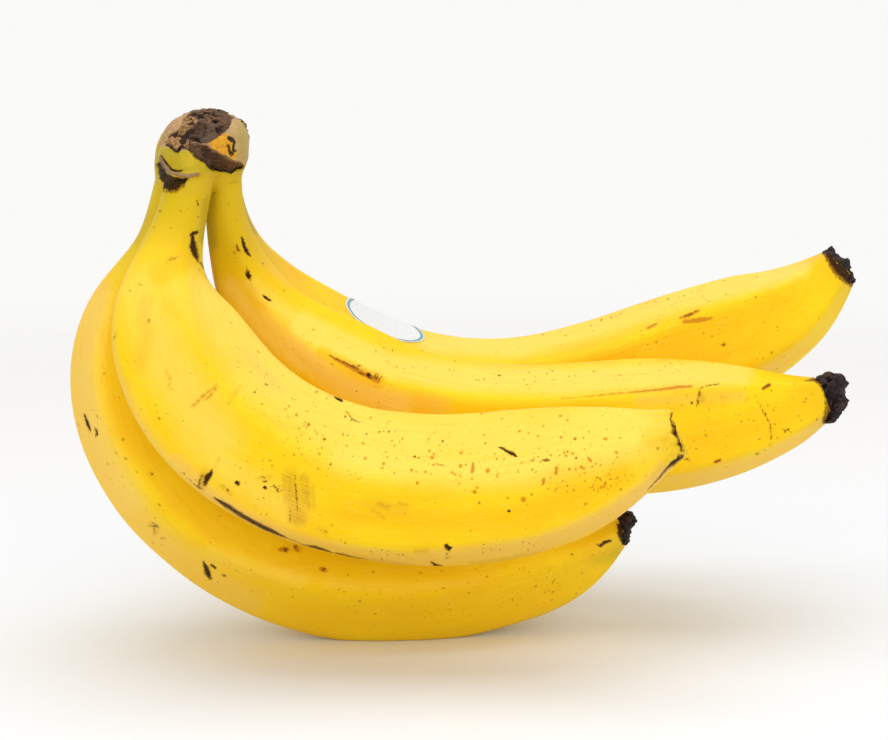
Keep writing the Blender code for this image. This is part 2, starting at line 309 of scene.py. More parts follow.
# kind, then the line that the mark follows in the frame, with its width there
MARKS = {
    "finger_front": [
        # the neck
        (BLACK, [(157, 181, 7), (164, 184.5, 10), (172, 186, 11), (180, 182, 8)]),
        (BROWN, [(157, 182, 8), (165, 186, 12), (174, 187.4, 12), (183, 183, 9)]),
        (BLACK, [(191, 234.8, 2.4), (194, 233.2, 3.2), (197.6, 232.3, 2.4)]),
        (BLACK, [(193, 236, 2.2), (193, 241, 4.6), (193.2, 247, 6.4), (195.3, 253.5, 5.6), (197.2, 259, 1.6)]),
        (BROWN, [(192.6, 236, 5), (193.4, 247, 8.4), (196.4, 256, 6.6), (198, 261, 3)]),
        (BROWN, [(197.2, 259, 1.6), (199.5, 262, 1.4), (202.2, 265, 2.4), (206, 272, 1.6)]),
        (BLACK, [(207.6, 275.6, 2.8)]),
        (TAN, [(166, 262, 2), (171, 258.5, 4.6), (180, 257, 2)]), (BROWN, [(170, 260, 1.6), (176, 257.6, 1.8)]),
        (BROWN, [(197, 200, 1.6), (198.4, 205, 2.6)]), (BROWN, [(201, 195, 2.2)]), (BROWN, [(203.5, 187, 2.2)]),
        (BROWN, [(160, 211, 2.2)]), (BROWN, [(198, 217, 1.8)]), (BROWN, [(187.6, 208.5, 1.6)]),
        # the left shoulder
        (BROWN, [(122, 283, 1.8)]), (BROWN, [(130, 291, 1.8)]), (BROWN, [(139, 284, 1.8), (146, 286, 1.2)]),
        (BROWN, [(147, 297, 1.8)]), (BROWN, [(126, 300, 1.6)]), (BROWN, [(134, 296, 1.6)]),
        (BROWN, [(111, 343, 1.2), (114, 338, 1.8), (117, 333, 1.0)]),
        (ORANGE, [(190, 408, 1.2), (203, 396, 2.4), (215, 387, 1.2)]),
        (ORANGE, [(204, 402, 1.2), (210, 396, 2.2), (217, 389, 1.2)]),
        (TAN, [(192, 407, 3), (204, 397, 5), (217, 386, 3)]),
        (TAN, [(228, 402, 2.0), (236, 392, 3.0), (240, 386, 1.6)]),
        (TAN, [(166, 372, 3), (170, 380, 5), (168, 388, 3)]),
        # dark marks along the lower side
        (BLACK, [(210.8, 472.4, 2.6), (208, 477, 5.2), (205.4, 483, 2.6)]),
        (BROWN, [(212, 470.6, 3), (208, 477, 8), (204.6, 484.6, 4.4)]),
        (BROWN, [(201.6, 475.3, 1.6), (200, 481, 2.6), (198.4, 486.7, 2.6)]),
        (BROWN, [(198, 488, 2.2), (201.8, 488.2, 1.8)]), (TAN, [(203, 476, 8), (201, 487, 7)]),
        (TAN, [(211.8, 471.4, 1.8), (215, 465, 2.2), (219, 458.6, 1.4)]),
        (BROWN, [(189.5, 479, 2.2)]), (BROWN, [(193.3, 483.5, 1.8), (196, 486, 1.6)]), (BROWN, [(186.3, 469, 1.6)]),
        (BROWN, [(184.6, 474, 1.4)]), (BROWN, [(188, 466.6, 1.2)]),
        (BLACK, [(236.4, 482, 3.2), (238.2, 484, 3.2)]), (BLACK, [(264.6, 487.8, 3.2)]),
        (TAN, [(220, 485, 3), (226, 488, 5.6), (231, 494, 3)]), (BROWN, [(224, 486, 1.6), (228, 491, 2.2)]),
        (TAN, [(256, 478.6, 1.6), (264, 478, 4.6), (272, 476.7, 2.2)]), (BROWN, [(261, 476.6, 1.6), (266, 478, 1.8)]),
        (BROWN, [(263, 481.4, 1.8), (267, 481, 2.0)]), (BROWN, [(274, 485, 1.8), (278, 492, 2.2)]),
        (BLACK, [(213.7, 497.4, 0.6), (219, 501, 2.0), (226, 505.8, 4.2), (233, 510.6, 3.2), (241.2, 515.8, 3.6),
                 (256.5, 524.2, 2.8), (264, 528, 3.6), (271.8, 531.4, 3.2), (284, 537.2, 0.8)]),
        (BROWN, [(213.7, 497.0, 1.4), (226, 505.0, 5.6), (241, 515.0, 5.0), (257, 523.6, 4.6), (272, 531, 4.6), (286, 537.6, 2.0)]),
        (BROWN, [(284, 537.2, 1.2), (294.8, 541, 1.2), (302.5, 544.9, 1.6), (314.7, 547.1, 4.0), (327, 551, 3.2),
                 (333, 553, 1.4), (342.3, 554.8, 3.6), (351.4, 557.4, 3.0), (363.7, 559.4, 1.4), (372, 561.6, 0.9)]),
        (BLACK, [(309, 546.4, 0.8), (316, 547.8, 2.0), (325, 550.4, 1.6)]),
        (TAN, [(348, 556, 3.4), (372, 560.6, 5.0), (398, 564, 4.6), (412, 566, 3.0)]),
        (BLACK, [(446.6, 546.4, 4.4), (449.2, 548.6, 4.8)]), (BROWN, [(446.8, 551, 1.4), (446.6, 559, 1.4)]),
        (BLACK, [(431.4, 562, 0.8), (435.4, 565.4, 2.8), (440, 567, 2.8), (445.6, 568, 0.8)]),
        (TAN, [(470, 563, 2), (500, 560, 4), (540, 553, 3)]), (BROWN, [(523, 560.6, 2.0)]), (BROWN, [(565, 548.6, 1.8)]),
        (BROWN, [(484, 544.6, 2.2)]), (TAN, [(416, 551, 4), (426, 550.6, 5)]),
        # rubbed lines across the middle
        (BROWN, [(294.8, 473.7, 0.8), (295.6, 486, 2.0), (296.8, 501, 2.2), (297.6, 513.5, 0.8)]),
        (TAN, [(284, 476.7, 1.0), (285, 490, 2.6), (284.6, 501, 1.0)]), (TAN, [(301, 476.7, 1), (302, 494, 2.4), (302.4, 507, 1)]),
        (TAN, [(307, 480, 1), (308, 496, 2.4), (308.6, 510, 1)]), (TAN, [(289.4, 478, 1.4), (289.8, 498, 2.6), (290, 518, 1.4)]),
        (BROWN, [(290.2, 510.4, 1.4), (290, 521, 2.2)]), (TAN, [(313, 486, 1.0), (314, 500, 2.0), (314, 510, 1)]),
        (TAN, [(292, 519, 3), (304, 522, 4)]),
        # short dark lines
        (BLACK, [(335.4, 396.6, 1.6), (338.6, 398.6, 3.0), (342, 401, 1.6)]), (TAN, [(330, 394.6, 2.6), (336, 397, 3)]),
        (BROWN, [(346, 410.5, 1.2), (349.6, 415.9, 1.8), (354.1, 420.4, 2.2), (359, 421.9, 1.4), (364, 421.4, 0.8)]),
        (BROWN, [(345.2, 416.8, 2.4)]),
        (BLACK, [(499.4, 447, 0.8), (506, 450.4, 2.0), (513, 454, 3.2), (517, 456.4, 1.0)]),
        (BROWN, [(542, 460.8, 1.8), (546, 459.8, 4.2), (550.4, 460.6, 1.6)]), (BROWN, [(535.6, 471.8, 2.2)]),
        (BLACK, [(509, 511, 2.6)]), (ORANGE, [(484, 435, 2.4)]), (BROWN, [(483.6, 434.8, 1.8)]),
        (BROWN, [(442.4, 441.2, 2.4)]), (BROWN, [(428, 443, 1.6)]), (ORANGE, [(519.6, 431.4, 3.2)]), (ORANGE, [(528.8, 432.8, 2.8)]),
        # orange-brown spots
        (ORANGE, [(432, 457.6, 4.6)]), (ORANGE, [(460.5, 465.8, 4.8)]), (ORANGE, [(473, 463, 3.0), (472.8, 470, 4.4), (472, 474, 1.6)]),
        (ORANGE, [(487.6, 470.6, 5.6)]), (ORANGE, [(474.6, 492, 4.8)]), (ORANGE, [(477.2, 488, 3)]), (BROWN, [(472, 476.6, 1.8)]),
        (ORANGE, [(543.5, 480, 4.4), (543.2, 484, 3.0)]), (ORANGE, [(556.4, 467, 2.8), (556, 473, 4.2)]), (ORANGE, [(550.6, 478, 2.8)]),
        (ORANGE, [(569, 469.2, 3.6)]), (ORANGE, [(581, 467.2, 3.8)]), (ORANGE, [(561, 437.4, 3.4)]), (ORANGE, [(564, 434, 2.4)]),
        (ORANGE, [(575.2, 438.8, 4.2)]), (ORANGE, [(604.4, 438.8, 3.6)]), (BROWN, [(574.8, 438.8, 2.2)]),
        (ORANGE, [(587.4, 457, 2.2), (590.4, 460.6, 3.6)]), (ORANGE, [(564.4, 452.8, 3.2)]), (ORANGE, [(572.6, 453.4, 3.6)]),
        (ORANGE, [(584.4, 449.2, 2.4)]), (ORANGE, [(580, 475.8, 2.6)]), (ORANGE, [(548.4, 488.4, 2.6)]), (ORANGE, [(556.8, 488.4, 2.8)]),
        (ORANGE, [(523, 499.4, 6.4)]), (ORANGE, [(531.6, 494.4, 3.2)]), (ORANGE, [(507.4, 498, 3.2)]), (ORANGE, [(479, 503, 3.6)]),
        (ORANGE, [(451.2, 472.2, 2.4), (456, 474.8, 2.4)]), (ORANGE, [(425.6, 472, 3.4)]), (ORANGE, [(411.6, 470, 3.8)]),
        (ORANGE, [(417.4, 483, 3.8)]), (ORANGE, [(436, 464, 2.0), (443, 465.4, 2.6)]), (ORANGE, [(496.6, 476.6, 2.4)]),
        (ORANGE, [(394.4, 473, 2.8)]), (ORANGE, [(383.6, 463.8, 3.8)]), (ORANGE, [(387.4, 457.2, 2.6)]), (ORANGE, [(365.2, 458.4, 3.8)]),
        (ORANGE, [(330.4, 464.6, 3.6)]), (BROWN, [(330.8, 464.2, 2.0)]), (ORANGE, [(318.2, 468.4, 3.0)]), (ORANGE, [(310, 464.2, 2.2)]),
        (ORANGE, [(305.8, 460.8, 2.2)]), (BROWN, [(294, 454.6, 2.2)]), (ORANGE, [(301.8, 454.8, 2.6)]), (BROWN, [(271.2, 460.4, 2.2)]),
        (ORANGE, [(298.6, 448.4, 2.6)]), (ORANGE, [(310, 451, 2.4)]), (ORANGE, [(321.6, 448.4, 2.4)]), (ORANGE, [(331.6, 454.8, 2.2)]),
        (ORANGE, [(324.2, 439.4, 4.2)]), (BROWN, [(324.4, 439, 2.2)]), (ORANGE, [(308.6, 424.6, 3.8)]), (BROWN, [(308.6, 424.4, 2.2)]),
        (ORANGE, [(296.5, 414.8, 3.0)]), (BROWN, [(296.6, 414.8, 1.8)]), (ORANGE, [(288.5, 406, 2.8)]), (BROWN, [(288, 417, 1.8)]),
        (ORANGE, [(316.6, 391.8, 3.2)]), (ORANGE, [(343, 434.4, 3.4)]), (BROWN, [(347.8, 435.4, 2.0)]), (ORANGE, [(310, 439, 2.6)]),
        (BROWN, [(379.6, 432, 2.2)]), (BROWN, [(383.6, 431, 2.4)]), (BROWN, [(388.7, 431.6, 2.6)]), (ORANGE, [(395, 431.7, 2.2)]),
        (ORANGE, [(392, 440.6, 2.6)]), (BROWN, [(395, 445.4, 2.0)]), (BROWN, [(400, 441.6, 1.8)]), (BROWN, [(402.6, 449.6, 1.8)]),
        (BROWN, [(255, 392, 2.2)]), (BROWN, [(267, 385, 2.2)]), (BROWN, [(278, 387, 1.8)]), (BROWN, [(262, 404, 1.8)]),
        (BROWN, [(225.8, 448.8, 2.2)]), (BROWN, [(234.6, 464.4, 1.8)]), (BROWN, [(240, 468, 1.8)]), (BROWN, [(263.4, 498.2, 1.8)]),
        (BROWN, [(254.7, 505.8, 2.0)]), (BROWN, [(262, 506, 1.6)]), (BROWN, [(266.5, 514.2, 2.0)]), (BROWN, [(325.4, 531.8, 2.4)]),
        (TAN, [(318, 528, 3), (326, 532, 4)]), (BROWN, [(345, 543, 2.0)]), (BROWN, [(356, 529, 1.8)]), (BROWN, [(360.6, 537.5, 1.6)]),
        (BROWN, [(382, 550.2, 2.0)]), (BROWN, [(402.8, 555.2, 2.0)]), (TAN, [(371, 509, 2), (384, 518, 3)]),
        (TAN, [(379, 504, 5), (388, 507, 6)]), (TAN, [(400, 503, 4), (407, 505, 4)]), (BROWN, [(384, 505.6, 2.0)]),
        # the scar round the tip
        (BLACK, [(668.4, 409.6, 1.0), (671, 412.6, 2.0), (672.8, 416, 2.4), (671, 420.6, 1.8), (672.6, 425, 2.4),
                 (675.2, 430, 2.6), (675.6, 435, 2.0), (677.4, 440, 2.4), (680, 446, 2.8), (681.8, 450.4, 2.0)]),
        (BROWN, [(667.4, 409.4, 1.4), (670.4, 413, 2.8), (670, 421, 3.0), (673.6, 430, 3.2), (675.8, 440, 3.0), (680.6, 450, 3.0)]),
        (TAN, [(671, 420, 6), (676, 438, 6), (681, 452, 4)]),
        (BLACK, [(681, 455.4, 1.6), (676.6, 459.4, 2.8), (671.6, 463.4, 3.2), (667.6, 468, 1.4)]),
        (BROWN, [(678, 458.4, 3.4), (668, 467, 3.6), (660, 477, 2.6), (648, 490, 1.2)]),
    ],
    "finger_lower": [
        (BLACK, [(84.4, 414.6, 0.8), (87.4, 423, 2.8), (90.4, 431, 0.9)]), (TAN, [(84, 416, 2.0), (90.6, 433, 2.4)]),
        (BROWN, [(95, 427.4, 1.6), (96.9, 433, 3.4), (96, 437, 1.8)]), (BLACK, [(96.4, 430, 1.6), (96.8, 434.6, 2.0)]),
        (BROWN, [(151.8, 474, 3.2)]), (TAN, [(151.4, 474, 5.4)]), (BROWN, [(139, 514.8, 1.8)]), (BROWN, [(136, 493, 1.6)]),
        (BROWN, [(151, 521.2, 1.0), (157.8, 526.6, 2.0)]), (BROWN, [(148, 526.4, 1.2), (155, 525.6, 2.0)]),
        (BROWN, [(154.4, 526, 2.0), (154.6, 536.8, 1.0)]), (TAN, [(149, 524, 3), (158, 527, 5), (155, 534, 4)]),
        (BROWN, [(161.8, 538.6, 2.0)]), (BROWN, [(161.8, 545, 2.0)]),
        (BLACK, [(203.6, 561.8, 1.0), (205.4, 567, 3.8), (207.2, 572, 5.4), (209.6, 577.6, 2.2)]),
        (BROWN, [(203.4, 561.4, 2.6), (207, 571.4, 7.8), (210.4, 578.6, 4)]),
        (BLACK, [(211.6, 565, 1.4), (214.6, 567.8, 2.4)]), (BROWN, [(222.4, 574.6, 2.0), (225.6, 576.2, 2.6)]),
        (BROWN, [(212.8, 577.6, 1.8)]), (BROWN, [(251.2, 570.2, 1.8)]),
        (ORANGE, [(280, 549.4, 4), (286, 549.8, 6.6)]), (ORANGE, [(295.4, 547, 5.6), (298, 551, 4)]), (ORANGE, [(320, 568.6, 4), (324, 569.6, 6)]),
        (BROWN, [(285.6, 549.6, 5.0)]), (TAN, [(279.6, 549.4, 4.6), (288, 549.6, 6.4)]), (BROWN, [(295.9, 546.8, 4.4)]),
        (BROWN, [(297.6, 551.8, 2.6)]), (TAN, [(294, 547, 6), (300, 549, 5.6)]),
        (BROWN, [(323.9, 569.4, 4.0)]), (TAN, [(319.6, 568.4, 3.4), (326, 570, 5.6)]),
        (BROWN, [(293, 597, 2.4)]), (BROWN, [(355, 613, 2.2)]), (BROWN, [(468, 583, 2.4)]), (BROWN, [(523, 568.6, 2.4)]),
        (BROWN, [(420, 573, 2.4)]), (BROWN, [(441, 571.4, 1.8)]), (BROWN, [(519.6, 568, 2.2)]), (BROWN, [(573, 554.6, 2.0)]),
        (BROWN, [(563, 556, 1.6)]), (BROWN, [(547.4, 577.6, 1.8)]), (BROWN, [(555, 569, 1.4)]),
        (BLACK, [(597.6, 545, 1.6), (601.4, 545.6, 2.2), (604.6, 542.4, 2.6), (610.6, 540.6, 1.8)]),
        (BROWN, [(560, 585, 1.8)]), (BROWN, [(545, 592, 1.8)]), (BROWN, [(500, 606, 1.8)]), (BROWN, [(430, 600, 1.8)]),
        (BLACK, [(621.5, 526, 9), (623, 534, 11), (625, 541, 7)]),
    ],
    "finger_middle": [
        (BLACK, [(242.2, 238.2, 1.4), (243.9, 245.4, 3.2), (246, 250.6, 3.2), (249.8, 255.2, 1.4)]),
        (BROWN, [(242, 237.6, 2.6), (244.2, 246, 5.2), (247, 252, 4.6), (250.6, 256, 2.4)]),
        (BROWN, [(236.4, 245.4, 2.0), (238.6, 250.6, 3.0)]), (TAN, [(235, 245, 4), (239, 252, 5)]),
        (BROWN, [(246.4, 265, 1.0), (246.6, 271, 1.6)]), (BLACK, [(248, 273.4, 3.8), (249, 276.4, 4.6)]),
        (BROWN, [(247.6, 272, 5), (249, 276.8, 6.4)]),
        (BROWN, [(219.5, 181, 1.8), (215.5, 190, 1.6), (213, 196, 1.0)]), (BROWN, [(237.4, 220, 2.2)]), (BROWN, [(228.6, 204.6, 1.8)]), (BROWN, [(263, 263.2, 2.0)]),
        (BLACK, [(262.6, 295.2, 0.9), (266.6, 298, 2.6), (270.6, 300.8, 0.9)]),
        (BROWN, [(327.3, 354.7, 1.2), (333.6, 357.2, 1.8), (341.6, 361.4, 2.2), (347.9, 364.6, 3.0), (355.9, 367.9, 2.8),
                 (360.4, 373, 2.2), (364.8, 374.8, 2.0)]),
        (BLACK, [(368.4, 375, 4.2)]), (BROWN, [(369, 375, 5.4), (370.4, 378.4, 3.0)]), (BROWN, [(358.6, 365.6, 2.0), (361.6, 365.6, 1.6)]),
        (BROWN, [(374.8, 373, 1.4), (374.6, 379, 2.2)]), (BROWN, [(377.6, 374, 2.4), (377, 379, 1.8)]), (BROWN, [(382, 375.6, 1.2), (379.6, 380, 1.8)]),
        (TAN, [(342, 361, 4), (366, 373, 8), (382, 378, 6)]), (ORANGE, [(330, 356, 3), (352, 368, 6), (378, 381, 6)]),
        (BROWN, [(331.8, 364, 2.4)]), (BROWN, [(392, 385.8, 2.4)]), (BROWN, [(389, 390.4, 2.4)]), (BROWN, [(391, 398.4, 2.0)]),
        (BROWN, [(383.6, 347.6, 2.0)]), (BROWN, [(392.6, 350.2, 2.2)]), (TAN, [(387, 362, 3)]), (BROWN, [(356.8, 391.4, 1.8)]),
        (BROWN, [(499, 375.4, 3.0)]), (BROWN, [(495, 378, 1.8)]), (BROWN, [(503, 374.8, 1.8)]),
        (ORANGE, [(560, 399, 1.2), (640, 391.5, 2.2), (669, 388.5, 3.0), (679, 386.8, 3.6), (692, 386.6, 2.4)]),
        (TAN, [(600, 395, 2), (660, 389, 4), (690, 387, 4)]),
        (BROWN, [(700, 388.4, 1.2), (699.4, 392, 2.4), (698.2, 400.6, 2.8), (696.2, 407.8, 1.6)]), (TAN, [(700, 390, 5), (702, 400, 7)]),
        (BROWN, [(702, 387.6, 1.4), (707.2, 385.6, 1.6), (718.7, 384, 1.8)]),
        (BROWN, [(691.6, 403.2, 3.8)]), (BROWN, [(682, 405, 2.4)]), (BROWN, [(673, 397.2, 2.0)]), (BROWN, [(668.4, 403.8, 1.8)]),
        (BROWN, [(763.4, 388.4, 2.0), (768.4, 385.2, 3.2)]), (ORANGE, [(763, 388.6, 4), (769, 385, 5)]),
        (BROWN, [(755, 395.5, 0.8), (758.2, 403, 1.6), (765.9, 416, 1.8), (770, 423.6, 2.0), (771.2, 433.8, 2.2), (770.3, 446.5, 1.0)]),
        (TAN, [(759.5, 399.3, 1.6), (765.9, 412, 1.8), (767, 420, 1.2)]),
        (BROWN, [(777.3, 424.8, 1.8)]), (BROWN, [(781, 428, 1.0), (785, 430.6, 1.8), (788.2, 429, 1.8), (791.4, 432.5, 1.2)]),
        (BROWN, [(759.2, 439, 2.8)]), (BROWN, [(806.7, 398.7, 2.0)]), (BROWN, [(794, 384, 2.0)]), (BROWN, [(816.6, 419.7, 2.2)]),
        (ORANGE, [(706.2, 435.7, 3.4)]), (ORANGE, [(706, 441.4, 2.6)]), (BROWN, [(696, 448.7, 2.6)]),
        (BROWN, [(716, 461.4, 2.2), (719.6, 460.4, 2.4)]), (ORANGE, [(715, 461.6, 4), (720, 460.6, 4)]), (BROWN, [(726.6, 467.2, 1.8)]),
        (BROWN, [(709, 457.4, 1.8)]), (BROWN, [(755.6, 454.4, 1.6), (759, 453.6, 2.0)]), (BROWN, [(777.3, 437.3, 1.8)]),
        (BROWN, [(735.3, 450, 1.6)]), (BROWN, [(781.4, 412.7, 1.6)]), (TAN, [(720, 396.6, 3), (725, 398, 3.4)]), (TAN, [(746.7, 399.3, 3)]),
        (ORANGE, [(681, 457.4, 2.2), (690, 460.2, 3.0)]), (BROWN, [(686, 459, 1.4), (690.4, 460.4, 2.2)]),
        (BROWN, [(805, 380.6, 1.4), (810, 380.2, 2.8), (818, 379.4, 4.4)]), (BROWN, [(740, 396, 1.4)]),
        # the dark tissue that runs into the skin at the tip
        (BLACK, [(817, 378, 5), (822, 381, 7), (830, 387, 8), (833, 395, 8), (835, 404, 9), (832, 413, 9), (828, 421, 4)]),
        (BROWN, [(814, 378.6, 5), (822, 383, 9), (828, 390, 11), (831, 400, 11), (830, 412, 13), (825, 421.6, 7)]),
    ],
    "finger_back": [
        (BROWN, [(602, 319, 2.2)]), (BROWN, [(611, 317.4, 2.4)]), (BROWN, [(616, 316, 1.8)]), (BROWN, [(621, 314, 2.0)]),
        (BROWN, [(656, 302, 2.2)]), (BROWN, [(668, 299, 2.4)]), (BROWN, [(679, 297, 2.0)]), (BROWN, [(672, 306, 1.6)]),
        (BROWN, [(640, 338, 2.0)]), (BROWN, [(675, 333, 2.0)]), (BROWN, [(752, 338, 2.2)]), (TAN, [(497, 352, 3)]),
        (BROWN, [(724, 345, 3.6)]), (TAN, [(724, 345, 5.6)]),
        (BROWN, [(684, 316.6, 1.4), (690, 314.4, 2.4), (697, 311, 1.2)]), (ORANGE, [(680, 318, 3), (690, 314.6, 5), (699, 310.4, 3)]),
        (ORANGE, [(684, 322, 4), (700, 320, 6), (712, 318, 3)]), (BROWN, [(560, 345, 1.8)]), (BROWN, [(700, 330, 1.8)]),
        (ORANGE, [(648, 328, 3.4), (656, 324, 3.4)]), (TAN, [(700, 290, 3)]),
        (BLACK, [(834, 254, 8), (843, 264, 9), (852, 276, 8)]),
        (BLACK, [(826.6, 252, 5), (832, 260, 6), (837, 268, 7), (844, 274.6, 7), (850, 281, 6), (855, 281.6, 3)]),
        (BROWN, [(824.6, 253, 5), (831, 263, 7), (836, 271, 8), (843, 278, 8), (851, 284, 6)]),
    ],
}
# kind, how many, widths, and the line along which they are strewn, with reach
STREWN = {
    "finger_front": [
        (ORANGE, 10, (1.4, 2.4), [(270, 405), (300, 430), (335, 455)], 26),
        (BROWN, 64, (1.0, 1.7), [(240, 375), (290, 420), (330, 450)], 38),
        (ORANGE, 60, (1.6, 3.4), [(380, 450), (470, 470), (560, 470), (620, 470)], 30),
        (BROWN, 30, (1.3, 2.2), [(330, 425), (450, 440), (560, 440), (650, 430)], 28),
        (ORANGE, 34, (1.6, 2.8), [(588, 488), (604, 482), (622, 474)], 11),
        (BROWN, 12, (1.2, 1.8), [(270, 485), (280, 492)], 8), (BROWN, 9, (1.2, 1.8), [(186, 470), (192, 482)], 6),
        (BROWN, 14, (1.2, 1.8), [(255, 500), (300, 522), (380, 545)], 12),
        (BROWN, 10, (1.2, 1.8), [(140, 300), (160, 380), (185, 440)], 26),
        (BROWN, 18, (1.2, 1.9), [(370, 558), (470, 552), (560, 545)], 6),
    ],
    "finger_lower": [
        (BROWN, 34, (1.2, 2.0), [(270, 580), (400, 605), (540, 585), (600, 556)], 22),
        (BROWN, 9, (1.2, 1.8), [(100, 450), (150, 520), (190, 560)], 16),
        (BROWN, 14, (1.2, 1.8), [(540, 575), (565, 572)], 12),
    ],
    "finger_middle": [
        (BROWN, 46, (1.2, 2.2), [(400, 362), (470, 374), (580, 374), (700, 368)], 11),
        (BROWN, 12, (1.2, 2.0), [(290, 320), (370, 358)], 14), (BROWN, 22, (1.2, 2.2), [(690, 425), (790, 410)], 34),
        (BROWN, 8, (1.2, 1.8), [(228, 220), (250, 290)], 12),
    ],
    "finger_back": [
        (BROWN, 26, (1.2, 2.2), [(510, 348), (600, 322), (690, 298), (760, 280)], 10),
        (ORANGE, 14, (1.6, 2.6), [(640, 345), (780, 320)], 22),
    ],
}

# The amber kind is painted shade: deeper, more saturated yellow where the skin faces down or lies in another finger's
# shade.
# The olive kind is the skin's green-olive near necks and tips, and painted shade in the creases between the necks.
# The pale kind is a painted highlight: the sheen of the overhead light on the upper facets, also laid over the shade
# where fingers cover one another; on the far sides it is random paler tone.
# The peach kind is partly the skin's paler peach tone and partly painted light from the floor and backdrop on lower
# facets and edges, also lifting the shade between fingers.
GREEN, FRECKLE, PALE, BRUISE, PEACH, AMBER_SHADE, OLIVE, DARK = range(8)
# soft areas: kind, reach in the frame, strength, and the line they follow
AREAS = {
    "finger_front": [
        (FRECKLE, 60, 0.6, [(250, 400), (270, 450)]), (FRECKLE, 60, 0.8, [(330, 450), (470, 450)]),
        (FRECKLE, 70, 1.0, [(470, 450), (600, 450)]), (FRECKLE, 35, 1.0, [(590, 480), (620, 475)]),
        (BRUISE, 13, 0.34, [(144, 300), (146, 340), (139, 366)]),
        (BRUISE, 15, 1.0, [(290, 478), (294, 500), (298, 516)]), (BRUISE, 10, 0.8, [(304, 478), (308, 505)]),
        (BRUISE, 16, 0.30, [(370, 500), (400, 510)]), (BRUISE, 9, 0.5, [(206, 472), (202, 486)]),
        (PALE, 74, 0.75, [(215, 300), (265, 365), (330, 420), (420, 440), (560, 435), (640, 425)]),
        (PALE, 58, 0.60, [(140, 290), (170, 365), (215, 440)]), (PALE, 40, 0.5, [(170, 290), (215, 330)]),
        (PALE, 26, 0.6, [(420, 424), (520, 420), (640, 418)]),
        (PALE, 46, 0.75, [(345, 452), (440, 466), (520, 464), (590, 452), (630, 438)]),
        (PALE, 40, 0.5, [(190, 430), (240, 480), (290, 512)]),
        (PEACH, 16, 0.95, [(176, 462), (205, 492), (240, 514), (290, 540), (350, 555), (420, 563)]),
        (PEACH, 17, 0.85, [(420, 560), (480, 554), (540, 544), (600, 519), (640, 492), (662, 470)]),
        (PEACH, 26, 0.45, [(122, 390), (146, 438), (176, 474)]),
        (PEACH, 13, 0.55, [(196, 205), (200, 220), (202, 240)]), (PEACH, 14, 0.5, [(246, 352), (262, 372), (280, 390)]),
        (AMBER_SHADE, 25, 0.7, [(345, 512), (420, 522), (500, 520), (565, 505), (622, 476)]),
        (AMBER_SHADE, 24, 0.8, [(185, 238), (180, 262), (160, 275)]), (AMBER_SHADE, 20, 0.5, [(650, 438), (664, 440)]),
        (OLIVE, 9, 0.8, [(206, 180), (205, 205), (203, 240)]), (OLIVE, 8, 0.3, [(672, 454), (664, 464), (652, 478)]),
    ],
    "finger_lower": [
        (FRECKLE, 40, 0.6, [(350, 605), (560, 588)]), (FRECKLE, 30, 0.4, [(130, 460), (190, 560)]),
        (PALE, 34, 0.55, [(100, 300), (85, 380), (100, 440), (130, 500)]),
        (PEACH, 30, 0.60, [(98, 290), (80, 360), (84, 430), (110, 485), (150, 535), (205, 578), (250, 600)]),
        (PALE, 20, 0.45, [(210, 553), (250, 568), (300, 580)]), (PEACH, 12, 0.35, [(330, 585), (400, 590), (480, 582)]),
        (AMBER_SHADE, 26, 0.35, [(112, 330), (118, 400), (150, 470), (200, 515), (260, 552), (340, 575), (440, 580), (540, 565)]),
        (AMBER_SHADE, 30, 0.4, [(300, 615), (400, 620), (500, 605), (580, 575)]), (OLIVE, 16, 0.45, [(596, 560), (618, 552)]),
        (OLIVE, 12, 0.4, [(148, 215), (136, 240)]),
    ],
    "finger_middle": [
        (PALE, 24, 1.0, [(300, 325), (350, 350), (390, 366), (460, 377), (560, 381), (650, 376), (740, 372)]),
        (PALE, 20, 0.6, [(250, 285), (300, 325)]), (PEACH, 11, 0.7, [(236, 195), (244, 222), (252, 246), (264, 262), (290, 282)]),
        (PEACH, 22, 0.55, [(290, 345), (330, 378), (380, 398), (440, 405)]), (PEACH, 14, 0.5, [(640, 400), (700, 398), (740, 396)]),
        (AMBER_SHADE, 12, 0.9, [(322, 352), (350, 367), (378, 384)]), (AMBER_SHADE, 36, 0.7, [(700, 440), (770, 425), (812, 398)]),
        (PALE, 18, 0.8, [(230, 285), (262, 330), (300, 362)]),
        (PALE, 24, 0.75, [(262, 318), (300, 352), (345, 388), (400, 404)]), (OLIVE, 10, 0.7, [(214, 185), (212, 215), (214, 245)]),
        (FRECKLE, 30, 0.9, [(480, 375), (690, 372)]), (FRECKLE, 50, 0.6, [(690, 430), (800, 410)]),
        (FRECKLE, 20, 0.6, [(290, 330), (400, 375)]), (PEACH, 14, 0.6, [(700, 482), (760, 462), (820, 428)]),
    ],
    "finger_back": [
        (PALE, 22, 0.9, [(430, 342), (520, 346), (600, 325), (680, 298), (740, 284), (800, 266)]),
        (FRECKLE, 26, 0.9, [(590, 322), (700, 298)]), (FRECKLE, 40, 0.5, [(640, 345), (780, 330)]),
        (AMBER_SHADE, 34, 0.40, [(540, 366), (640, 350), (720, 322), (780, 306), (835, 275)]),
        (AMBER_SHADE, 12, 0.7, [(262, 250), (276, 262), (300, 277)]), (OLIVE, 9, 0.8, [(243, 195), (247, 214), (254, 232)]),
    ],
}
# rows along a finger, and columns on the side with the finest marks and behind
MESH = {"finger_front": (520, 150, 36), "finger_lower": (400, 112, 44),
        "finger_middle": (400, 116, 44), "finger_back": (400, 112, 44)}
SEEDS = {"finger_front": 3, "finger_lower": 11, "finger_middle": 19, "finger_back": 27}


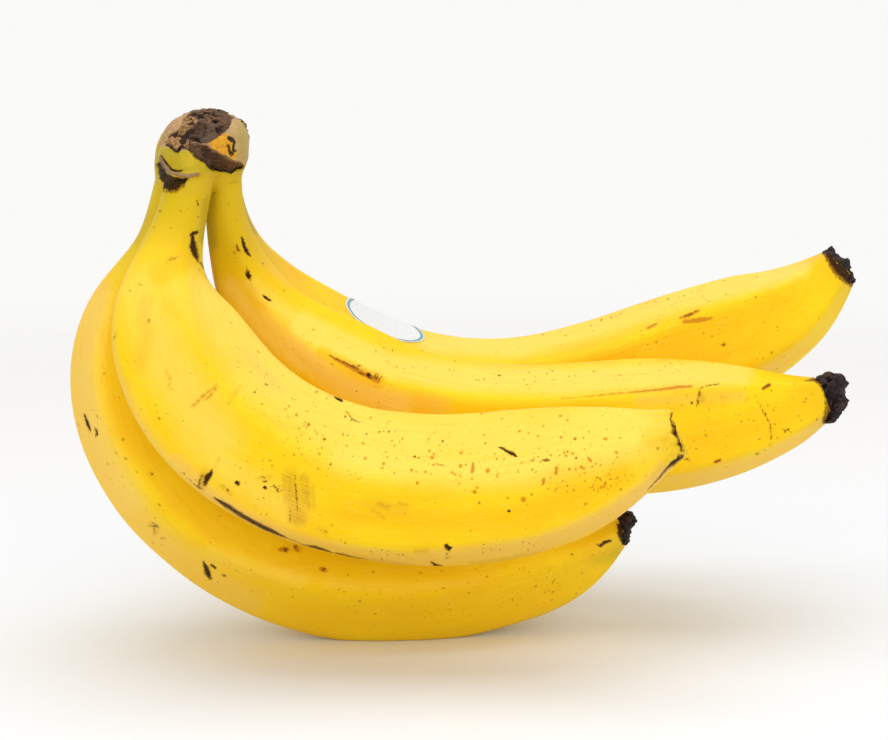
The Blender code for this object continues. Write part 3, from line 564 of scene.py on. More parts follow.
# ---------------------------------------------------------------- materials
class Graph:
    """A node material, written from its shader backwards."""

    def __init__(self, name):
        self.material = bpy.data.materials.new(name)
        self.material.use_nodes = True
        self.tree = self.material.node_tree
        self.shader = self.tree.nodes["Principled BSDF"]

    def put(self, socket, value):
        if isinstance(value, bpy.types.NodeSocket):
            self.tree.links.new(value, socket)
        elif value is not None:
            socket.default_value = value

    def node(self, kind, **settings):
        n = self.tree.nodes.new(kind)
        for key, value in settings.items():
            setattr(n, key, value)
        return n

    def field(self, name, part="Fac"):
        n = self.node("ShaderNodeAttribute", attribute_name=name)
        return n.outputs[part]

    def split(self, colour):
        n = self.node("ShaderNodeSeparateColor")
        self.put(n.inputs[0], colour)
        return n.outputs[0], n.outputs[1], n.outputs[2]

    def maths(self, op, a, b=None, c=None, clamp=False):
        n = self.node("ShaderNodeMath", operation=op, use_clamp=clamp)
        for socket, value in zip(n.inputs, (a, b, c)):
            self.put(socket, value)
        return n.outputs[0]

    def vector(self, op, a, b):
        n = self.node("ShaderNodeVectorMath", operation=op)
        self.put(n.inputs[0], a)
        self.put(n.inputs[1], b)
        return n.outputs[0]

    def step(self, value, low, high, to=(0.0, 1.0)):
        n = self.node("ShaderNodeMapRange", interpolation_type="SMOOTHSTEP")
        for socket, item in zip(n.inputs, (value, low, high, to[0], to[1])):
            self.put(socket, item)
        return n.outputs[0]

    def mix(self, fac, a, b):
        n = self.node("ShaderNodeMix", data_type="RGBA")
        self.put(n.inputs[0], fac)
        for socket, value in ((n.inputs[6], a), (n.inputs[7], b)):
            self.put(socket, (*value, 1.0) if isinstance(value, tuple) else value)
        return n.outputs[2]

    def cloud(self, where, scale, detail=2.0, rough=0.5):
        n = self.node("ShaderNodeTexNoise")
        self.put(n.inputs["Vector"], where)
        n.inputs["Scale"].default_value = scale
        n.inputs["Detail"].default_value = detail
        n.inputs["Roughness"].default_value = rough
        return n.outputs[0], n.outputs[1]

    def bump(self, height, distance, strength=1.0, normal=None):
        n = self.node("ShaderNodeBump")
        n.inputs["Distance"].default_value = distance
        n.inputs["Strength"].default_value = strength
        self.put(n.inputs["Height"], height)
        self.put(n.inputs["Normal"], normal)
        return n.outputs[0]


def peel_material():
    g = Graph("peel")
    where = g.field("straight", "Vector")
    black, brown, orange = g.split(g.field("marks", "Color"))
    tan = g.field("marks", "Alpha")
    green, freckle, pale = g.split(g.field("areas", "Color"))
    bruise = g.field("areas", "Alpha")
    peach, amber_shade, olive = g.split(g.field("tints", "Color"))

    along = g.vector("MULTIPLY", where, (0.045, 1.0, 1.0))
    streak, _ = g.cloud(along, 0.75, 4.0, 0.6)
    fibre, _ = g.cloud(g.vector("MULTIPLY", where, (0.06, 1.0, 1.0)), 2.6, 3.0, 0.6)
    blotch, _ = g.cloud(where, 0.045, 3.0, 0.55)
    grain, warp = g.cloud(where, 1.1, 3.0, 0.6)
    fine, _ = g.cloud(where, 3.2, 2.0, 0.6)

    # soft areas end in clouds, not in even slopes
    cloudy = g.maths("MULTIPLY", g.maths("SUBTRACT", blotch, 0.5), 0.9)
    drift = g.maths("ADD", cloudy, g.maths("MULTIPLY", g.maths("SUBTRACT", streak, 0.5), 0.5))

    def area(value, low=0.08, high=0.85):
        return g.step(g.maths("MULTIPLY", value, g.maths("ADD", 1.0, drift)), low, high)

    colour = g.mix(g.step(blotch, 0.32, 0.68), (0.92, 0.540, 0.0015), (0.94, 0.620, 0.003))
    # painted highlight: the paler sheen of the upper facets, also laid over the shade between fingers
    colour = g.mix(g.maths("MULTIPLY", area(pale), 0.88), colour, (0.970, 0.665, 0.100))
    # painted shade: deeper, more saturated yellow on facets that face down or lie in another finger's shade
    colour = g.mix(g.maths("MULTIPLY", area(amber_shade), 0.75), colour, (0.90, 0.500, 0.0008))
    # partly the skin's peach tone, partly painted light from the floor and backdrop on lower facets and edges
    colour = g.mix(g.maths("MULTIPLY", area(peach), 0.62), colour, (0.880, 0.520, 0.100))
    colour = g.mix(g.step(streak, 0.48, 0.76, (0.0, 0.40)), colour, (0.86, 0.480, 0.0015))
    colour = g.mix(g.step(fibre, 0.45, 0.78, (0.0, 0.26)), colour, (0.97, 0.720, 0.090))
    colour = g.mix(g.step(green, 0.02, 1.0, (0.0, 0.80)), colour, (0.600, 0.430, 0.006))
    # olive: the skin's own green-olive near necks and tips, and painted shade in the creases between the necks
    colour = g.mix(g.maths("MULTIPLY", area(olive), 0.60), colour, (0.400, 0.310, 0.006))
    # tan bruises with fibres showing through them
    worn = g.maths("MULTIPLY", bruise, g.step(fibre, 0.25, 0.75, (0.35, 1.25)))
    colour = g.mix(g.maths("MULTIPLY", worn, 0.70, clamp=True), colour, (0.600, 0.300, 0.010))

    # freckles: small round spots, of a size that differs from one to the next
    def spots(scale, low, high, chance):
        cells = g.node("ShaderNodeTexVoronoi", feature="F1")
        g.put(cells.inputs["Vector"], g.vector("ADD", where, g.vector("MULTIPLY", warp, (0.5, 0.5, 0.5))))
        cells.inputs["Scale"].default_value = scale
        one, two, _ = g.split(cells.outputs["Color"])
        size = g.step(one, 0.0, 1.0, (low, high))
        there = g.step(g.maths("ADD", two, g.maths("MULTIPLY", freckle, chance)), 0.86, 0.94)
        reach = g.maths("MULTIPLY", size, there)
        return g.step(g.maths("SUBTRACT", reach, cells.outputs["Distance"]), -0.05, 0.06)

    small = spots(0.42, 0.06, 0.22, 0.40)
    tiny = spots(0.95, 0.08, 0.26, 0.30)
    dots = g.maths("MAXIMUM", small, g.maths("MULTIPLY", tiny, 0.8))
    colour = g.mix(g.maths("MULTIPLY", dots, 0.62), colour, (0.470, 0.175, 0.002))

    # the listed marks, with ragged edges
    ragged = g.maths("ADD", g.maths("MULTIPLY", g.maths("SUBTRACT", grain, 0.5), 0.75),
                     g.maths("MULTIPLY", g.maths("SUBTRACT", fine, 0.5), 0.65))

    def mark(value, low, high, edge=1.0):
        return g.step(g.maths("ADD", value, g.maths("MULTIPLY", ragged, edge)), low, high)

    has_tan = mark(tan, 0.25, 0.85)
    has_orange = mark(orange, 0.40, 0.72, 0.6)
    has_brown = mark(brown, 0.44, 0.70, 1.0)
    has_black = mark(black, 0.48, 0.62, 1.0)
    colour = g.mix(g.maths("MULTIPLY", has_tan, 0.42), colour, (0.520, 0.240, 0.006))
    colour = g.mix(g.maths("MULTIPLY", has_orange, 0.85), colour, (0.560, 0.200, 0.001))
    colour = g.mix(g.maths("MULTIPLY", has_brown, 0.84), colour, (0.190, 0.060, 0.001))
    scab = g.mix(g.step(fine, 0.35, 0.75), (0.014, 0.005, 0.001), (0.095, 0.036, 0.004))
    colour = g.mix(g.maths("MULTIPLY", has_black, 0.98), colour, scab)
    g.put(g.shader.inputs["Base Color"], colour)

    scar = g.maths("MAXIMUM", has_black, g.maths("MULTIPLY", has_brown, 0.8))
    rough = g.step(blotch, 0.3, 0.7, (0.40, 0.50))
    rough = g.maths("ADD", rough, g.maths("MULTIPLY", scar, 0.22))
    rough = g.maths("ADD", rough, g.maths("MULTIPLY", g.maths("SUBTRACT", fine, 0.5), 0.16))
    g.put(g.shader.inputs["Roughness"], rough)

    height = g.maths("ADD", g.maths("MULTIPLY", streak, 0.55), g.maths("MULTIPLY", fibre, 0.30))
    height = g.maths("ADD", height, g.maths("MULTIPLY", fine, 0.20))
    height = g.maths("ADD", height, g.maths("MULTIPLY", grain, 0.30))
    height = g.maths("SUBTRACT", height, g.maths("MULTIPLY", scar, g.step(fine, 0.2, 0.8, (0.3, 1.3))))
    g.put(g.shader.inputs["Normal"], g.bump(height, 0.00022, 0.8))
    g.shader.inputs["Specular IOR Level"].default_value = 0.12
    g.shader.inputs["Subsurface Weight"].default_value = 0.05
    g.shader.inputs["Subsurface Radius"].default_value = (1.0, 0.55, 0.12)
    g.shader.inputs["Subsurface Scale"].default_value = 0.002
    return g.material


PEEL = peel_material()


# ------------------------------------------------------------------ fingers
def columns(near, far):
    """Angles round a finger, closer together on the side with the finest marks."""
    edge = math.radians(102)
    return np.r_[np.linspace(-edge, edge, near, endpoint=False),
                 np.linspace(edge, 2 * math.pi - edge, far, endpoint=False)]


def build_finger(name, number):
    f, seed = FINGERS[name], SEEDS[name]
    centre, length = spline(f["path"], np.linspace(0, 1, 400))
    start = float(np.interp(-130.5, -centre[:, 2], np.linspace(0, 1, 400)))
    row_count, near_cols, far_cols = MESH[name]
    q = np.linspace(start, 1, row_count)
    theta = columns(near_cols, far_cols)
    places, straight = skin(f, q, theta, seed=seed)
    c, tangent, *_ = frames(f, q)

    # both ends are closed with a few shrinking rings
    def close(row, at_s, middle, along, rounding):
        shapes, coords = [], []
        for size, out in rounding:
            shapes.append(middle + (row - middle) * size + along * out)
            coords.append(at_s * (1, size, size))
        return shapes, coords

    tip = [(0.965, 0.20), (0.90, 0.36), (0.78, 0.42), (0.60, 0.34), (0.40, 0.20), (0.20, 0.10), (0.04, 0.08)]
    neck = [(0.75, 0.0), (0.45, 0.0), (0.05, 0.0)]
    more, more_s = close(places[-1], straight[-1], c[-1], tangent[-1], tip)
    first, first_s = close(places[0], straight[0], c[0], -tangent[0], neck)
    places = np.concatenate([np.array(first[::-1]), places, np.array(more)])
    straight = np.concatenate([np.array(first_s[::-1]), straight, np.array(more_s)])
    rows, cols = places.shape[:2]

    # outward directions, then the marks press into the skin
    round_it = np.roll(places, -1, 1) - np.roll(places, 1, 1)
    along_it = np.gradient(places, axis=0)
    normal = np.cross(along_it, round_it)
    normal /= np.linalg.norm(normal, axis=2)[..., None] + 1e-12
    body = places - np.concatenate([np.repeat(c[:1], len(first), 0), c, np.repeat(c[-1:], len(more), 0)])[:, None]
    sign = np.sign((normal[20:-20] * body[20:-20]).sum())
    normal *= sign

    flat, flat_n = places.reshape(-1, 3), normal.reshape(-1, 3)
    uv = seen(flat)
    view = EYE - flat
    view /= np.linalg.norm(view, axis=1)[:, None]
    facing = smooth(((flat_n * view).sum(1) + 0.02) / 0.10)
    rng = np.random.default_rng(seed)
    listed = []
    for kind, line in MARKS[name]:
        if kind == BLACK:
            listed.append((BROWN, [(u, v, w + 1.5) for u, v, w in line]))
        listed.append((kind, line))
    for kind, count, widths, line, reach in STREWN[name]:
        line = np.asarray(line, float)
        for _ in range(count):
            k = int(rng.integers(0, len(line) - 1))
            spot = line[k] + (line[k + 1] - line[k]) * rng.random() + rng.normal(0, reach / 2, 2)
            listed.append((kind, [(spot[0], spot[1], rng.uniform(*widths))]))
            if kind == ORANGE and rng.random() < 0.35:
                listed.append((BROWN, [(spot[0] + 0.3, spot[1] - 0.2, rng.uniform(1.0, 1.8))]))
    marks, areas = np.zeros((len(flat), 4)), np.zeros((len(flat), 8))
    shown = np.nonzero(facing > 0)[0]
    for kind, line in listed:
        points = np.array([p[:2] for p in line])
        low, high = points.min(0) - 12, points.max(0) + 12
        idx = shown[((uv[shown] > low) & (uv[shown] < high)).all(1)]
        if len(idx):
            value = stroke(uv[idx], facing[idx], line, 5.0 if kind == TAN else 2.0)
            marks[idx, kind] = np.maximum(marks[idx, kind], value)
    for kind, reach, strength, line in AREAS[name]:
        areas[:, kind] = np.maximum(areas[:, kind], strength * wash(uv, facing, line, reach))

    # the sides that the listed marks don't reach have scars of their own
    s_all = straight.reshape(-1, 3)
    away = 1 - smooth(((flat_n * view).sum(1) + 0.25) / 0.25)
    ring = np.sqrt((s_all[:, 1:] ** 2).sum(1))
    for _ in range(26):
        at_row = int(rng.uniform(0.12, 0.96) * rows)
        at_col = int(rng.integers(near_cols, cols)) if rng.random() < 0.75 else int(rng.integers(0, cols))
        spot = straight[at_row, at_col]
        half_long, half_wide = rng.uniform(0.5, 1.0) * (rng.choice([1, 1, 4])), rng.uniform(0.45, 0.9)
        tilt = rng.uniform(-0.6, 0.6)
        d = s_all - spot
        side = (d[:, 1] * -spot[2] + d[:, 2] * spot[1]) / max(math.hypot(spot[1], spot[2]), 1e-6)
        x = d[:, 0] * math.cos(tilt) + side * math.sin(tilt)
        y = -d[:, 0] * math.sin(tilt) + side * math.cos(tilt)
        gap = np.sqrt((x / half_long) ** 2 + (y / half_wide) ** 2)
        depth = (np.abs(d[:, 1:]) < 14).all(1)
        kind = int(rng.choice([BROWN, ORANGE, BLACK, TAN], p=[0.4, 0.3, 0.15, 0.15]))
        marks[:, kind] = np.maximum(marks[:, kind], np.clip(1.0 - 0.5 * gap, 0, 1) * depth * away)
    areas[:, FRECKLE] = np.maximum(areas[:, FRECKLE], 0.45 * away * smooth(0.5 + 0.8 * noise(s_all, 30.0, seed + 5)))
    areas[:, PALE] = np.maximum(areas[:, PALE], 0.4 * away * smooth(0.5 + 0.7 * noise(s_all, 26.0, seed + 6)))

    # green at both ends
    s01 = s_all[:, 0] / length
    neck_green = smooth((0.24 - s01) / 0.20)
    tip_green = 0.45 * smooth((s01 - 0.93) / 0.07)
    areas[:, GREEN] = np.clip(neck_green + tip_green, 0, 1)

    if name == "finger_front":
        # the tip has lost its flower end: a torn rim stands up round the scar
        rim = smooth((s01 - 0.968) / 0.026)
        torn = 0.30 + 0.60 * noise(flat, 2.0, 71) + 0.35 * noise(flat, 0.9, 72)
        flat = flat + (rim * torn)[:, None] * (0.6 * flat_n + 0.5 * tangent[-1])

    press = 0.10 * smooth((marks[:, BLACK] - 0.4) / 0.4) + 0.05 * smooth((marks[:, BROWN] - 0.4) / 0.4)
    flat = flat - flat_n * press[:, None]
    flat[:, 2] = np.maximum(flat[:, 2], REST_CUT)

    middle_a, middle_b = flat[:cols].mean(0), flat[-cols:].mean(0)
    n = len(flat)
    every = np.concatenate([flat, [middle_a, middle_b]])
    faces = [tuple(x) for x in tube(rows, cols)]
    last = (rows - 1) * cols
    for j in range(cols):
        k = (j + 1) % cols
        faces.append((n, k, j))
        faces.append((n + 1, last + j, last + k))
    obj = make_object(name + "_skin", every, faces, PEEL)
    shift = np.concatenate([s_all, s_all[:1] * (1, 0, 0), s_all[-1:] * (1, 0, 0)]) + (number * 700.0, 0, 0)
    pad = lambda a: np.concatenate([a, a[:1], a[-1:]])
    carry(obj.data, "straight", shift)
    carry(obj.data, "marks", pad(marks))
    carry(obj.data, "areas", pad(areas[:, :4]))
    carry(obj.data, "tints", pad(areas[:, 4:]))
    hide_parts(name)
    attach(obj, "root")
    return obj


for number, finger_name in enumerate(FINGERS):
    build_finger(finger_name, number)


# ------------------------------------------------- crown and dried flower ends
def blob(p, centre, radii):
    """Rough distance to an ellipsoid."""
    q = (p - centre) / radii
    whole = np.linalg.norm(q, axis=1)
    return whole * (whole - 1) / (np.linalg.norm(q / radii, axis=1) + 1e-9)


def rod(p, a, b, first, last):
    """Distance to a tapered rod with round ends."""
    ab = b - a
    t = np.clip(((p - a) @ ab) / (ab @ ab), 0, 1)
    return np.linalg.norm(p - a - t[:, None] * ab, axis=1) - (first + (last - first) * t)


def melt(a, b, reach):
    """The nearer of two surfaces, with the crease between them filled."""
    h = np.clip(0.5 + 0.5 * (b - a) / reach, 0, 1)
    return b * (1 - h) + a * h - reach * h * (1 - h)


def inside(uv, corners):
    """How far places in the frame lie inside an outline, negative outside."""
    p = np.asarray(corners, float)
    gap = from_line(uv, [tuple(c) for c in p] + [tuple(p[0])])
    odd = np.zeros(len(uv), bool)
    for a, b in zip(p, np.roll(p, -1, 0)):
        if a[1] == b[1]:
            continue
        between = (a[1] > uv[:, 1]) != (b[1] > uv[:, 1])
        odd ^= between & (uv[:, 0] < (b[0] - a[0]) * (uv[:, 1] - a[1]) / (b[1] - a[1]) + a[0])
    return np.where(odd, gap, -gap)


def shell(field, low, high, size):
    """Points and faces of the surface on which a field is 0."""
    low, high = np.asarray(low, float), np.asarray(high, float)
    count = np.ceil((high - low) / size).astype(int) + 1
    grid = np.stack(np.meshgrid(*[low[k] + size * np.arange(count[k]) for k in range(3)],
                                indexing="ij"), -1)
    value = field(grid.reshape(-1, 3)).reshape(count)
    total, hits = np.zeros((*(count - 1), 3)), np.zeros(count - 1)
    edges = []
    for axis in range(3):
        lower, upper = [slice(None)] * 3, [slice(None)] * 3
        lower[axis], upper[axis] = slice(None, -1), slice(1, None)
        a, b = value[tuple(lower)], value[tuple(upper)]
        crossed = (a < 0) != (b < 0)
        point = grid[tuple(lower)].copy()
        point[..., axis] += np.where(crossed, a / np.where(crossed, a - b, 1.0), 0) * size
        point *= crossed[..., None]
        m, n = [k for k in range(3) if k != axis]
        for dm in (0, 1):
            for dn in (0, 1):
                part = [slice(None)] * 3
                part[m], part[n] = slice(dm, count[m] - 1 + dm), slice(dn, count[n] - 1 + dn)
                total += point[tuple(part)]
                hits += crossed[tuple(part)]
        edges.append((axis, m, n, crossed, a < 0))
    label = np.full(hits.shape, -1, np.int64)
    used = hits > 0
    label[used] = np.arange(used.sum())
    places = total[used] / hits[used][:, None]
    faces = []
    for axis, m, n, crossed, solid in edges:
        spot = np.argwhere(crossed)
        spot = spot[(spot[:, m] > 0) & (spot[:, n] > 0) & (spot[:, m] < count[m] - 1) & (spot[:, n] < count[n] - 1)]
        ring = []
        for dm, dn in ((-1, -1), (0, -1), (0, 0), (-1, 0)):
            cell = spot.copy()
            cell[:, m] += dm
            cell[:, n] += dn
            ring.append(label[tuple(cell.T)])
        quads = np.stack(ring, 1)
        outward = solid[tuple(spot.T)] != (axis == 1)
        quads[~outward] = quads[~outward][:, ::-1]
        faces.append(quads)
    faces = np.concatenate(faces)
    step = size * 0.25
    for _ in range(2):
        here = field(places)
        slope = np.stack([(field(places + d) - field(places - d)) / (2 * step)
                          for d in np.eye(3) * step], 1)
        move = here[:, None] * slope / np.maximum((slope ** 2).sum(1), 0.25)[:, None]
        places = places - np.clip(move, -size * 0.6, size * 0.6)
    return places, faces


# outlines and lines in the frame that the crown's parts follow
TORN = [(183, 119), (190, 113), (196, 111), (206, 108), (222, 109), (234, 118), (229, 127), (224, 132), (214, 140),
        (208, 144), (196, 144), (191, 149), (184, 147), (179, 151), (171, 148), (164, 142), (170, 135), (178, 130), (181, 124)]
DARK_CAP = [(194, 114), (206, 107), (222, 108), (232, 116), (226, 125), (217, 124), (208, 127), (200, 131), (196, 138),
            (188, 140), (186, 132), (192, 122)]
HOLLOW = [(188, 124), (199, 121), (209, 123), (212, 131), (205, 137), (200, 143), (190, 142), (186, 134)]
GREY = [(203, 128), (213, 124), (222, 123), (226, 131), (219, 133), (213, 140), (205, 144), (196, 142), (197, 136)]
TAWNY = [(158, 146), (162, 134), (169, 122), (178, 113), (190, 112), (198, 121), (192, 129), (186, 138), (190, 148), (180, 150),
         (172, 148), (165, 143)]
ORANGE_PATCH = [(213, 138), (222, 133), (229, 133), (233, 141), (236, 150), (235, 159), (227, 157), (218, 152), (211, 146)]
UNDER = [(187, 147), (193, 144), (203, 145), (211, 149), (220, 154), (231, 160), (244, 164), (243, 169), (230, 172), (214, 170), (204, 162), (195, 154)]
UNDER_EDGE = [(166, 145), (172, 149), (177, 151), (182, 147), (190, 150), (196, 155), (204, 162), (213, 169), (230, 172), (243, 166)]
LIP = [(192, 143), (203, 144), (211, 148), (220, 153), (231, 159), (243, 164)]
CUP = [(152, 182), (153, 172), (157, 165), (161, 161), (164, 168), (168, 173), (174, 177), (183, 178), (188, 178), (184, 183),
       (182, 189), (174, 191), (164, 187)]
CUP_LIP = [(160, 158), (163, 163), (167, 169), (172, 173), (180, 175), (188, 176), (197, 174)]
CUP_TEAR = [(161, 156), (164, 160), (168, 166), (172, 170), (178, 171.5), (182, 171)]
CAP = [(160, 146), (163, 134), (169, 122), (180, 110), (206, 102), (226, 104), (240, 112), (256, 138), (254, 160), (243, 166),
       (231, 159), (220, 153), (211, 148), (203, 144), (193, 143), (186, 150), (176, 151)]
ORANGE_DARK = [(229, 137), (234, 143), (234, 151)]
ORANGE_DARK_2 = [(227, 146), (231, 154)]


def crown_parts():
    """Blobs of the crown: centre in the frame, depth, and radii in mm."""
    table = [(207, 140, 25, (10.3, 14.3, 8.2)), (231, 143, 24, (4.5, 11.5, 6.4)), (180, 137, 21, (3.0, 8.5, 4.6)),
             (186, 158, 17.5, (6.7, 8.6, 7.0)), (171, 164, 25, (4.3, 8.5, 6.6)), (175, 150, 22, (3.9, 9, 5.6)),
             (222, 156, 22, (6.6, 10, 3.7)), (215, 170, 24, (4.6, 6.5, 5.0))]
    return [(at(u, v, y), np.array(r)) for u, v, y, r in table]


def crown_field():
    parts = crown_parts()
    stump = (at(172, 177, 11.5), np.array((4.3, 4.6, 3.1)))
    rods = []
    for f in FINGERS.values():
        c, _ = spline(f["path"], np.linspace(0, 1, 300))
        low = np.array([np.interp(-124.0, -c[:, 2], c[:, k]) for k in range(4)])
        top = np.array([np.interp(-133.5, -c[:, 2], c[:, k]) for k in range(4)])
        rods.append((top[:3], low[:3], top[3] + 0.15, low[3] - 0.9))

    def field(p):
        value = blob(p, *parts[0])
        for part in parts[1:]:
            value = melt(value, blob(p, *part), 2.4)
        necks = rod(p, *rods[0])
        for one in rods[1:]:
            necks = melt(necks, rod(p, *one), 0.8)
        value = melt(value, necks, 3.0)
        value = melt(value, blob(p, *stump), 0.8)
        near = np.nonzero(np.abs(value) < 2.6)[0]
        if len(near):
            value[near] -= crown_relief(p[near])
        return value

    return field


def crown_relief(p):
    """How far the surface of the crown stands out, in mm."""
    uv = seen(p)
    front = smooth((30.0 - p[:, 1]) / 9.0)
    warped = uv + 2.2 * np.stack([noise(p, 1.7, 51), noise(p, 1.7, 52)], 1)
    torn = np.clip(0.5 + inside(warped, TORN) / 3.0, 0, 1)
    torn = np.maximum(torn, (1 - front) * smooth((p[:, 2] - 141.0) / 3.0))
    under = np.clip(0.5 + inside(uv, UNDER) / 2.5, 0, 1) * front
    coarse, middle, fine = noise(p, 2.6, 41), noise(p * (1.0, 0.7, 1.6), 1.15, 42), noise(p, 0.55, 43)
    out = 0.22 * noise(p, 5.0, 40) + 0.07 * noise(p, 1.3, 44)
    bent = p + 0.8 * np.stack([noise(p, 1.3, 53), noise(p, 1.3, 54), noise(p, 1.3, 55)], 1)
    pits = -0.65 * smooth((noise(bent, 2.1, 45) + 0.35 * noise(p, 0.8, 56) - 0.15) / 0.4)
    out = out + torn * (0.65 * coarse + 0.45 * middle + 0.22 * fine + pits)
    fibres = noise(p * (0.35, 1.0, 1.6), 0.8, 46)
    out = out + under * (0.26 * fibres + 0.14 * fine - 0.75)
    lip = np.exp(-(from_line(uv, LIP) / 1.7) ** 2) * front
    out = out + 0.95 * lip * (1 + 0.5 * middle)
    edge = np.exp(-(from_line(warped, UNDER_EDGE) / 1.3) ** 2) * front
    out = out - 0.60 * edge
    front_cup = smooth((24.0 - p[:, 1]) / 5.0)
    cup = np.clip(0.5 + inside(uv, CUP) / 3.0, 0, 1) * front_cup
    out = out + cup * (-1.35 + 0.55 * middle + 0.25 * fine)
    out = out + (0.95 + 0.4 * middle) * np.exp(-(from_line(warped, CUP_LIP) / 2.3) ** 2) * front_cup
    out = out - 0.8 * np.exp(-(from_line(uv, CUP_TEAR) / 0.9) ** 2) * front_cup
    crack = np.minimum(from_line(warped, ORANGE_DARK), from_line(warped, ORANGE_DARK_2))
    return out - 0.5 * np.exp(-(crack / 1.6) ** 2) * front


def crown_material():
    g = Graph("crown")
    torn, black, tawny = g.split(g.field("bark", "Color"))
    grey = g.field("bark", "Alpha")
    patch, lobe, lip = g.split(g.field("rind", "Color"))
    low = g.field("rind", "Alpha")
    where = g.field("straight", "Vector")
    blotch, _ = g.cloud(where, 0.22, 3.0, 0.6)
    grain, _ = g.cloud(where, 1.3, 4.0, 0.65)
    fine, _ = g.cloud(where, 4.0, 3.0, 0.65)
    strand, _ = g.cloud(g.vector("MULTIPLY", where, (0.5, 1.0, 2.2)), 1.6, 3.0, 0.6)
    loose = g.maths("ADD", g.maths("MULTIPLY", g.maths("SUBTRACT", grain, 0.5), 1.1),
                    g.maths("MULTIPLY", g.maths("SUBTRACT", fine, 0.5), 0.6))

    def patchy(value, edge, first=0.38, last=0.62):
        return g.step(g.maths("ADD", value, g.maths("MULTIPLY", loose, edge)), first, last)

    skin_colour = g.mix(g.step(blotch, 0.35, 0.65), (0.450, 0.330, 0.003), (0.580, 0.410, 0.005))
    skin_colour = g.mix(low, skin_colour, (0.664, 0.452, 0.006))
    colour = g.mix(g.maths("MULTIPLY", g.step(fine, 0.55, 0.8), 0.2), skin_colour, (0.34, 0.22, 0.02))
    pale_lobe = g.mix(g.step(blotch, 0.35, 0.65), (0.480, 0.300, 0.115), (0.570, 0.380, 0.160))
    pale_lobe = g.mix(g.maths("MULTIPLY", g.step(strand, 0.45, 0.75), 0.5), pale_lobe, (0.300, 0.160, 0.050))
    across, _, _ = g.split(where)
    edge_on = g.step(across, -56.0, -52.8, (0.0, 0.55))
    pale_lobe = g.mix(edge_on, pale_lobe, (0.420, 0.330, 0.040))
    colour = g.mix(patchy(lobe, 0.25, 0.25, 0.8), colour, pale_lobe)
    tan_bark = g.mix(g.step(grain, 0.35, 0.7), (0.360, 0.190, 0.070), (0.620, 0.400, 0.200))
    colour = g.mix(patchy(tawny, 0.5), colour, tan_bark)
    colour = g.mix(patchy(patch, 0.35), colour, g.mix(g.step(grain, 0.4, 0.7), (0.740, 0.370, 0.006), (0.520, 0.210, 0.010)))
    bark = g.mix(g.step(strand, 0.30, 0.70), (0.028, 0.012, 0.005), (0.180, 0.088, 0.040))
    bark = g.mix(g.maths("MULTIPLY", g.step(grain, 0.50, 0.68), 0.6), bark, (0.250, 0.115, 0.075))
    bark = g.mix(g.step(fine, 0.54, 0.80), bark, (0.400, 0.240, 0.120))
    light_bark = g.mix(g.step(grain, 0.32, 0.62), (0.085, 0.038, 0.011), (0.440, 0.235, 0.085))
    light_bark = g.mix(g.step(fine, 0.52, 0.78), light_bark, (0.640, 0.430, 0.220))
    bark = g.mix(patchy(tawny, 0.4), bark, light_bark)
    colour = g.mix(patchy(torn, 0.55), colour, bark)
    colour = g.mix(g.maths("MULTIPLY", patchy(grey, 0.3, 0.3, 0.75), 0.9), colour,
                   g.mix(g.step(fine, 0.3, 0.7), (0.080, 0.048, 0.030), (0.150, 0.092, 0.058)))
    # black: dark pits, the stump's cup and cracks, and painted shade below the lip
    colour = g.mix(g.maths("MULTIPLY", patchy(black, 0.7, 0.28, 0.60), 0.97), colour,
                   g.mix(g.step(fine, 0.4, 0.75), (0.014, 0.007, 0.004), (0.080, 0.038, 0.018)))
    # painted highlight: lighter brown along the raised lips round the cap and the cup
    colour = g.mix(g.maths("MULTIPLY", patchy(lip, 0.4), 0.85), colour,
                   g.mix(g.step(fine, 0.35, 0.7), (0.160, 0.082, 0.042), (0.430, 0.260, 0.150)))
    g.put(g.shader.inputs["Base Color"], colour)
    dead = g.maths("MAXIMUM", g.maths("MAXIMUM", torn, black), g.maths("MAXIMUM", tawny, grey))
    g.put(g.shader.inputs["Roughness"], g.maths("ADD", g.step(dead, 0.2, 0.8, (0.46, 0.70)),
                                               g.maths("MULTIPLY", g.maths("SUBTRACT", fine, 0.5), 0.2)))
    height = g.maths("ADD", g.maths("MULTIPLY", strand, g.step(dead, 0.2, 0.8, (0.3, 1.4))), g.maths("MULTIPLY", fine, 0.6))
    g.put(g.shader.inputs["Normal"], g.bump(height, 0.00028, 0.8))
    g.shader.inputs["Specular IOR Level"].default_value = 0.25
    return g.material


